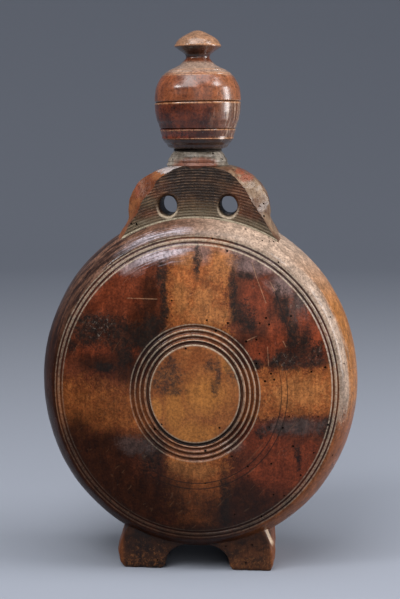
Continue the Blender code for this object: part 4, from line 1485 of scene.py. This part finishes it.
def bore_hole(form, place, normal, chance):
    """Adds one slightly conical, slightly leaning hole to a cutter."""
    lean = Vector((chance.uniform(-1, 1), chance.uniform(-1, 1), chance.uniform(-1, 1))) * 0.25
    inward = -(normal + lean).normalized()
    radius = chance.uniform(*HOLE_RADII)
    turn = inward.to_track_quat("Z", "Y").to_matrix().to_4x4()
    spot = Matrix.Translation(place + inward * (HOLE_DEPTH / 2 - 1 * MM)) @ turn
    bmesh.ops.create_cone(
        form, cap_ends=True, segments=HOLE_SIDES, radius1=radius, radius2=radius * 0.8,
        depth=HOLE_DEPTH, matrix=spot,
    )


def aims(chance):
    """Where each beetle hole is looked for: a start and a direction."""
    rays = [(camera.location, sight(across, down).normalized()) for across, down in BEETLE_HOLES]
    for _ in range(UNSEEN_HOLES):
        around, up = chance.uniform(0.2, math.pi - 0.2), chance.uniform(-0.9, 1.0)
        start = CENTRE + Vector((math.cos(around) * 0.3, math.sin(around) * 0.3, up * 0.09))
        target = CENTRE + Vector((math.cos(around) * 0.075, 0.0, up * 0.08))
        rays.append((start, (target - start).normalized()))
    return rays


def bore_holes(pieces):
    """Sorts the holes among the pieces that they come out of, and cuts them."""
    chance = random.Random(SEED)
    graph = bpy.context.evaluated_depsgraph_get()
    trees = [BVHTree.FromObject(piece, graph) for piece in pieces]
    cutters = [bmesh.new() for _ in pieces]
    bored = []
    for start, aim in aims(chance):
        hits = [tree.ray_cast(start, aim) for tree in trees]
        found = [(hit[3], n) for n, hit in enumerate(hits) if hit[0] is not None]
        if not found:
            continue
        nearest = min(found)[1]
        place, normal = hits[nearest][0], hits[nearest][1]
        if any((place - other).length < LEAST_APART for other in bored):
            continue
        bored.append(place)
        bore_hole(cutters[nearest], place, normal, chance)
    for piece, cutter in zip(pieces, cutters):
        print(piece.name, "gets", len(cutter.faces) // (HOLE_SIDES + 2), "holes")
        boolean(piece, "DIFFERENCE", [make_piece("beetle_holes", cutter, hollow_wood)])


bore_holes([body, plug])

# %% [markdown]
# ## The stopper
#
# The ball is two turned halves, handled to a gloss. The joint between them is tilted, since the halves were
# turned apart, and pale lines, partly worn and partly painted highlights on the lips, run beside it and round
# the bands. The lower half is dark and red, painted lighter on the right, where the light falls, with painted
# highlights in pale threads there, and painted shade on its underside.

# %% Wood of the ball's two halves
SEAM_TILT = math.tan(math.radians(1.1))
SEAM_RISE = 0.55 * MM
EDGE_WEAR_AND_HIGHLIGHT = (0.50, 0.24, 0.11)


def handled_wood(name, dark, warm, lines):
    """Turned wood handled to a shine. Each pale line, worn and painted as a highlight, is a height and half its
    width, tipped as the seam.
    """
    wood = start_wood(name)
    across, _, up = parts(wood.place)
    wood.start(ramp(speckle(wood.place, 95.0, 5.0, 0.7, 0.3), 0.38, 0.62), dark, warm)
    wood.fine = speckle(wood.place, 700.0, 3.0, 0.75)
    level = up - across * SEAM_TILT
    masks = [thin_line(level, at, half_width, 0.4) for at, half_width in lines]
    return wood, across, up, strongest(masks) * ramp(wood.fine, 0.35, 0.6, 0.15, 0.75)


def finish_ball(wood, glow):
    """Adds the grain, pits, pale lines of wear and painted highlight, gloss and bump that both halves share."""
    wood.add_grain(0.2, 0.4)
    wood.tone(wood.fine, 0.32, 0.68, 0.7, 1.3)
    pits = ramp(speckle(wood.place, 900.0, 3.0, 0.65), 0.60, 0.68)
    wood.lay(pits * 0.5, GROOVE_BLACK)
    # Pale lines: partly wear, partly painted highlights on the lips.
    wood.lay(glow, EDGE_WEAR_AND_HIGHLIGHT)
    roughness = ramp(wood.fine, 0.3, 0.7, 0.24, 0.40)
    return wood.finish(roughness, wood.grain["Relief"] - pits, 0.08 * MM, 0.75, 0.22)


# %% Wood of the lower half
LOWER_DARK = (0.038, 0.0070, 0.0022)
LOWER_WARM = (0.13, 0.026, 0.0075)
LOWER_LINES = [
    (SEAM_Z + SEAM_RISE - 0.75 * MM, 0.65 * MM), (BASE_Z + 11.75 * MM, 0.5 * MM),
    (BASE_Z + 6.5 * MM, 0.4 * MM),
]
LOWER_LIT_TAN = (0.19, 0.085, 0.042)
THREAD_HIGHLIGHT = (0.42, 0.32, 0.24)
FRESH_RED = (0.20, 0.035, 0.018)
UNDERSIDE_PAINTED_SHADE = (0.018, 0.010, 0.007)

wood, across, up, glow = handled_wood("stopper_wood", LOWER_DARK, LOWER_WARM, LOWER_LINES)
# Painted light: the right side is lighter, with pale highlight threads in the grain.
right = ramp(parts(ragged(wood.place, 70.0, 0.010))[0], 0.006, 0.018)
wood.lay(right * 0.6, LOWER_LIT_TAN)
wood.lay(right * ramp(wood.grain["Streaks"], 0.5, 0.62) * 0.45, THREAD_HIGHLIGHT)
band = ramp(up, BASE_Z + 5.5 * MM, BASE_Z + 7 * MM) * ramp(up, BASE_Z + 12.5 * MM, BASE_Z + 11.5 * MM)
wood.lay(band * ramp(across, 0.002, -0.006) * ramp(wood.fine, 0.45, 0.58) * 0.42, FRESH_RED)
# Painted shade on the underside.
wood.lay(ramp(up, BASE_Z + 6.6 * MM, BASE_Z + 5.2 * MM) * 0.8, UNDERSIDE_PAINTED_SHADE)
stopper_wood = finish_ball(wood, glow)

# %% [markdown]
# The cap is a warmer red, painted lighter on the right, where the light falls. Its crown is pale with dust and a
# painted sheen, its knob is rubbed pale, and painted shade lies under the knob's edge, darkest on the left.

# %% Wood of the cap
KNOB_FOOT = SEAM_Z + 27.0 * MM
KNOB_EDGE = SEAM_Z + 34.7 * MM
CAP_DARK = (0.11, 0.030, 0.012)
CAP_WARM = (0.22, 0.062, 0.022)
CAP_LINES = [
    (SEAM_Z + SEAM_RISE + 0.7 * MM, 0.45 * MM), (SEAM_Z + 17.1 * MM, 0.35 * MM),
    (SEAM_Z + 18.2 * MM, 0.35 * MM),
    (SEAM_Z + 20.4 * MM, 0.3 * MM), (KNOB_EDGE + 0.9 * MM, 0.5 * MM),
]
CAP_LIT_TAN = (0.30, 0.12, 0.05)
CROWN_DUST_AND_SHEEN = (0.30, 0.215, 0.165)
KNOB_TAN = (0.27, 0.155, 0.09)
KNOB_PAINTED_SHADE = (0.022, 0.009, 0.005)

wood, across, up, glow = handled_wood("cap_wood", CAP_DARK, CAP_WARM, CAP_LINES)
ragged_across, _, ragged_up = parts(ragged(wood.place, 70.0, 0.010))
# Painted light: lighter towards the right.
wood.lay(ramp(ragged_across, 0.004, 0.02) * 0.4, CAP_LIT_TAN)
under_stem = ramp(up, SEAM_Z + 26.5 * MM, SEAM_Z + 24 * MM)
# The crown is pale with dust and a painted sheen.
pale_crown = ramp(ragged_up, SEAM_Z + 15 * MM, SEAM_Z + 20 * MM) * under_stem
wood.lay(pale_crown * 0.8, CROWN_DUST_AND_SHEEN)
wood.lay(ramp(up, KNOB_EDGE - 1 * MM, KNOB_EDGE + 1 * MM) * 0.7, KNOB_TAN)
# Painted shade under the knob's edge, darker on the left.
shaded = ramp(up, KNOB_EDGE + 0.1 * MM, KNOB_EDGE - 0.3 * MM) * ramp(up, KNOB_FOOT, KNOB_FOOT + 2 * MM)
wood.lay(shaded * ramp(across, 0.007, -0.003, 0.45, 0.95), KNOB_PAINTED_SHADE)
# The pale lines, partly painted highlights, are stronger on the lit right side.
cap_wood = finish_ball(wood, glow * ramp(across, -0.03, 0.015, 0.5, 1.0))

# %% [markdown]
# A turner works to a few measured points and a smooth curve between them. The profiles below are such points,
# in millimetres, and through() draws the curve.

# %% Smooth profiles


def through(points, steps=5):
    """A smooth curve through every point, whose slope at each is that from its neighbour to its neighbour."""
    padded_points = [points[0]] + list(points) + [points[-1]]
    curve = []
    for a, b, c, d in zip(padded_points, padded_points[1:], padded_points[2:], padded_points[3:]):
        for step in range(steps):
            t = step / steps
            curve.append(tuple(
                0.5 * (
                    2 * q + (r - p) * t + (2 * p - 5 * q + 4 * r - s) * t ** 2
                    + (3 * q - p - 3 * r + s) * t ** 3
                )
                for p, q, r, s in zip(a, b, c, d)
            ))
    return curve + [tuple(points[-1])]


def raised(points, base):
    """Points in millimetres, as (radius, height above a base)."""
    return [(radius * MM, base + height * MM) for radius, height in points]


def tilt_seam(form, seam, reach):
    """Tips the joint a little about Y, as the lathe's two set-ups left it. The ends stay level."""
    for vert in form.verts:
        share = max(0.0, 1 - abs(vert.co.z - seam) / reach)
        outside = 1.0 if math.hypot(vert.co.x, vert.co.y) > SPIGOT_RADIUS + FIT else 0.0
        vert.co.z += (vert.co.x * SEAM_TILT + SEAM_RISE) * share * outside


def turn_half(name, profile, material):
    """Turns one half of the ball, weathers it and tips its seam."""
    form = spin_profile(profile, UPWARD, 128)
    weather(form, 0.12 * MM, 9 * MM)
    tilt_seam(form, SEAM_Z, 14 * MM)
    return make_piece(name, form, material, (SCREW_X, 0, 0))


# %% Turn the stopper
SPIGOT_TOP = stopper_high.z
SPIGOT_RADIUS = 13 * MM
DRINKING_RADIUS = 3 * MM
CORE_RADIUS = SHANK_RADIUS - THREAD_DEPTH
UNDERSIDE = ((15.9, 0.0), (18.3, 0.7), (19.1, 1.6), (19.7, 2.7), (20.9, 3.9), (21.7, 5.1), (22.2, 5.9))
FOOT_BAND = (
    (22.85, 6.4), (22.7, 7.2), (22.75, 8.0), (23.05, 9.0), (23.47, 10.2), (23.85, 11.4), (24.0, 12.0),
)
BAND_GROOVE = ((23.75, 12.4), (23.15, 12.7), (24.1, 13.05))
LOWER_BALL = (
    (24.2, 13.2), (24.4, 13.9), (24.75, 15.2), (25.25, 16.4), (25.86, 17.7), (26.4, 20.2), (26.85, 22.7),
    (27.05, 25.1), (27.15, 27.7),
)
stopper_profile = [
    (0.0, stopper_low.z), (CORE_RADIUS, stopper_low.z), (CORE_RADIUS, MOUTH_Z - 1.5 * MM),
    (SHANK_RADIUS, MOUTH_Z), (SHANK_RADIUS, BASE_Z),
]
stopper_profile += through(raised(UNDERSIDE, BASE_Z)) + raised([(22.1, 6.15)], BASE_Z)
stopper_profile += through(raised(FOOT_BAND, BASE_Z)) + raised(BAND_GROOVE, BASE_Z)
stopper_profile += through(raised(LOWER_BALL, BASE_Z))
stopper_profile += [
    (BALL_RADIUS - 0.05 * MM, SEAM_Z - 0.7 * MM), (BALL_RADIUS - 0.3 * MM, SEAM_Z - 0.25 * MM),
    (BALL_RADIUS - 0.8 * MM, SEAM_Z), (SPIGOT_RADIUS, SEAM_Z), (SPIGOT_RADIUS, SPIGOT_TOP - 0.8 * MM),
    (SPIGOT_RADIUS - 0.8 * MM, SPIGOT_TOP), (0.0, SPIGOT_TOP),
]
stopper = turn_half("screw_stopper", stopper_profile, stopper_wood)
screw_form = threaded_rod(SHANK_RADIUS, stopper_low.z, MOUTH_Z - 1 * MM)
boolean(stopper, "UNION", [make_piece("screw", screw_form, stopper_wood, (SCREW_X, 0, 0))])
drinking_bore = plain_bore("drinking_bore", DRINKING_RADIUS, stopper_low.z - OVERRUN, SPIGOT_TOP + OVERRUN, 40)
boolean(stopper, "DIFFERENCE", [drinking_bore])
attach(stopper, "stopper")
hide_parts("stopper")

# %% [markdown]
# ## The cap
#
# The upper half of the ball, its paler crown with two fine lines, a waisted stem and a mushroom knob with a
# beaded edge. Underneath is the socket that fits over the spigot.

# %% Turn the cap
UPPER_BALL = (
    (27.2, 1.0), (27.1, 4.1), (26.8, 6.5), (26.44, 9.0), (25.5, 11.5), (24.2, 14.0), (22.7, 16.5),
    (21.7, 17.4),
)
CROWN = ((21.2, 18.0), (19.9, 19.1), (18.6, 19.9))
SHOULDER = (
    (18.0, 20.35), (15.7, 21.4), (13.1, 22.7), (11.0, 23.9), (9.8, 25.1), (8.6, 26.4), (7.6, 27.6),
    (7.45, 28.6),
)
KNOB_UNDERSIDE = ((7.45, 28.6), (8.07, 30.1), (9.5, 31.3), (11.0, 32.3), (12.6, 33.4), (13.7, 34.2))
KNOB_BEAD = ((14.3, 34.4), (14.6, 34.8), (14.7, 35.4), (14.5, 36.0))
KNOB_TOP = (
    (14.2, 36.4), (13.5, 37.7), (12.4, 39.0), (10.8, 40.3), (8.3, 41.8), (5.55, 43.2), (2.7, 44.4),
    (0.0, 44.9),
)
cap_profile = [
    (0.0, SPIGOT_TOP + FIT), (SPIGOT_RADIUS + FIT, SPIGOT_TOP + FIT), (SPIGOT_RADIUS + FIT, cap_low.z),
    (BALL_RADIUS - 0.8 * MM, cap_low.z), (BALL_RADIUS - 0.3 * MM, cap_low.z + 0.25 * MM),
]
cap_profile += through(raised(UPPER_BALL, SEAM_Z)) + raised([(21.25, 17.65)], SEAM_Z)
cap_profile += through(raised(CROWN, SEAM_Z)) + raised([(18.05, 20.0)], SEAM_Z)
cap_profile += through(raised(SHOULDER, SEAM_Z))[:-1]
for stretch in (KNOB_UNDERSIDE, KNOB_BEAD, KNOB_TOP):
    cap_profile += through(raised(stretch, SEAM_Z))
cap = turn_half("ball_cap", cap_profile, cap_wood)
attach(cap, "cap")
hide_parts("stopper_cap")

# %% [markdown]
# The washer is a thin ring of leather between the neck and the stopper. Of it only a dark line shows.

# %% Cut the washer
washer_radius = (washer_high.x - washer_low.x) / 2
washer_profile = [
    (BORE_RADIUS, washer_low.z), (washer_radius - 0.3 * MM, washer_low.z),
    (washer_radius, washer_low.z + 0.3 * MM),
    (washer_radius, washer_high.z - 0.3 * MM), (washer_radius - 0.3 * MM, washer_high.z),
    (BORE_RADIUS, washer_high.z),
]
washer_form = spin_profile(washer_profile, UPWARD, 96, closed=True)
washer = make_piece("leather_washer", washer_form, washer_leather, (SCREW_X, 0, 0))
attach(washer, "washer")
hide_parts("stopper_washer")

# %% [markdown]
# ## Floor and light
#
# The floor runs up into a round wall far behind the flask, so no corner shows, and its paint looks pale to
# the camera but throws little light back at the wood. Six soft lamps light the flask as a studio would: a
# broad one overhead, a smaller one on the left, one high on the left that puts the bright spot on the ball, a
# tall one on the right that draws the rim, a small one above it, and a broad weak one in front that opens
# the shadows.

# %% Floor and wall
PAINT = (0.27, 0.29, 0.34)
PAINT_FOR_LIGHT = (0.14, 0.145, 0.16)
GLOW_ON_WALL = (0.030, 0.034, 0.045, 1.0)
FLOOR_RADIUS = 1.6
WALL_RADIUS = 3.0
WALL_HEIGHT = 2.6
BEND_STEPS = 12
DIRECT_RAYS = ("Is Camera Ray", "Is Glossy Ray", "Is Transmission Ray")

# The paint dims for light that bounces, and glows a little on the wall so that no dark band shows.
paint = Finish("stage_paint")
rays = paint.tree.nodes.new("ShaderNodeLightPath").outputs
looks = strongest([Wire(rays[name]) for name in DIRECT_RAYS])
plug_in(blend_colour(looks, PAINT_FOR_LIGHT, PAINT), paint.shader.inputs["Base Color"])
plug_in(0.9, paint.shader.inputs["Roughness"])
plug_in(0.1, paint.shader.inputs["Specular IOR Level"])
outward = vector_calc("LENGTH", vector_calc("MULTIPLY", paint.place, (1.0, 1.0, 0.0)))
glow_strength = ramp(outward, 0.5, FLOOR_RADIUS) * looks
glow = node_on("Emission", ("Color", GLOW_ON_WALL), ("Strength", glow_strength))
both = node_on("AddShader", (0, Wire(paint.shader.outputs[0])), (1, glow))
plug_in(both, paint.tree.nodes["Material Output"].inputs["Surface"])

bend_radius = WALL_RADIUS - FLOOR_RADIUS
turns = [math.pi / 2 * step / BEND_STEPS for step in range(BEND_STEPS + 1)]
bend = [(FLOOR_RADIUS + bend_radius * math.sin(turn), bend_radius * (1 - math.cos(turn))) for turn in turns]
cove_form = spin_profile([(0.0, 0.0)] + bend + [(WALL_RADIUS, WALL_HEIGHT)], UPWARD, 96)
floor = make_piece("floor", cove_form, paint.material, (0, 0, -0.05 * MM))

# %% World
world = bpy.data.worlds.new("studio")
bpy.context.scene.world = world
world.use_nodes = True
world.node_tree.nodes["Background"].inputs["Color"].default_value = (0.80, 0.88, 1.0, 1.0)
world.node_tree.nodes["Background"].inputs["Strength"].default_value = 0.10

# %% Lamps
LAMP_DISTANCE = 1.3
# Each is a name, the angles round and up from the flask's front, the width, the height and the power.
LAMPS = [
    ("overhead", 0, 78, 1.2, 0.8, 12.5), ("key", -22, 50, 0.8, 0.6, 9),
    ("left high", -56, 37, 0.26, 0.2, 5.2),
    ("right", 88, 10, 0.35, 1.0, 17), ("right high", 72, 48, 0.3, 0.25, 4.5),
    ("front", 18, 20, 1.2, 0.8, 3),
]
for name, around, up, width, height, power in LAMPS:
    data = bpy.data.lights.new(name, "AREA")
    data.shape = "RECTANGLE"
    data.size = width
    data.size_y = height
    data.energy = power
    a, e = math.radians(around), math.radians(up)
    back = Vector((math.sin(a) * math.cos(e), -math.cos(a) * math.cos(e), math.sin(e)))
    source = bpy.data.objects.new(name, data)
    source.location = Vector((0, 0, cad_high.z / 2)) + back * LAMP_DISTANCE
    source.rotation_euler = back.to_track_quat("Z", "Y").to_euler()
    bpy.context.scene.collection.objects.link(source)
print(len(LAMPS), "lamps")

# %% Sizes and finish
print("cad", [round(v / MM, 1) for v in (*cad_low, *cad_high)])
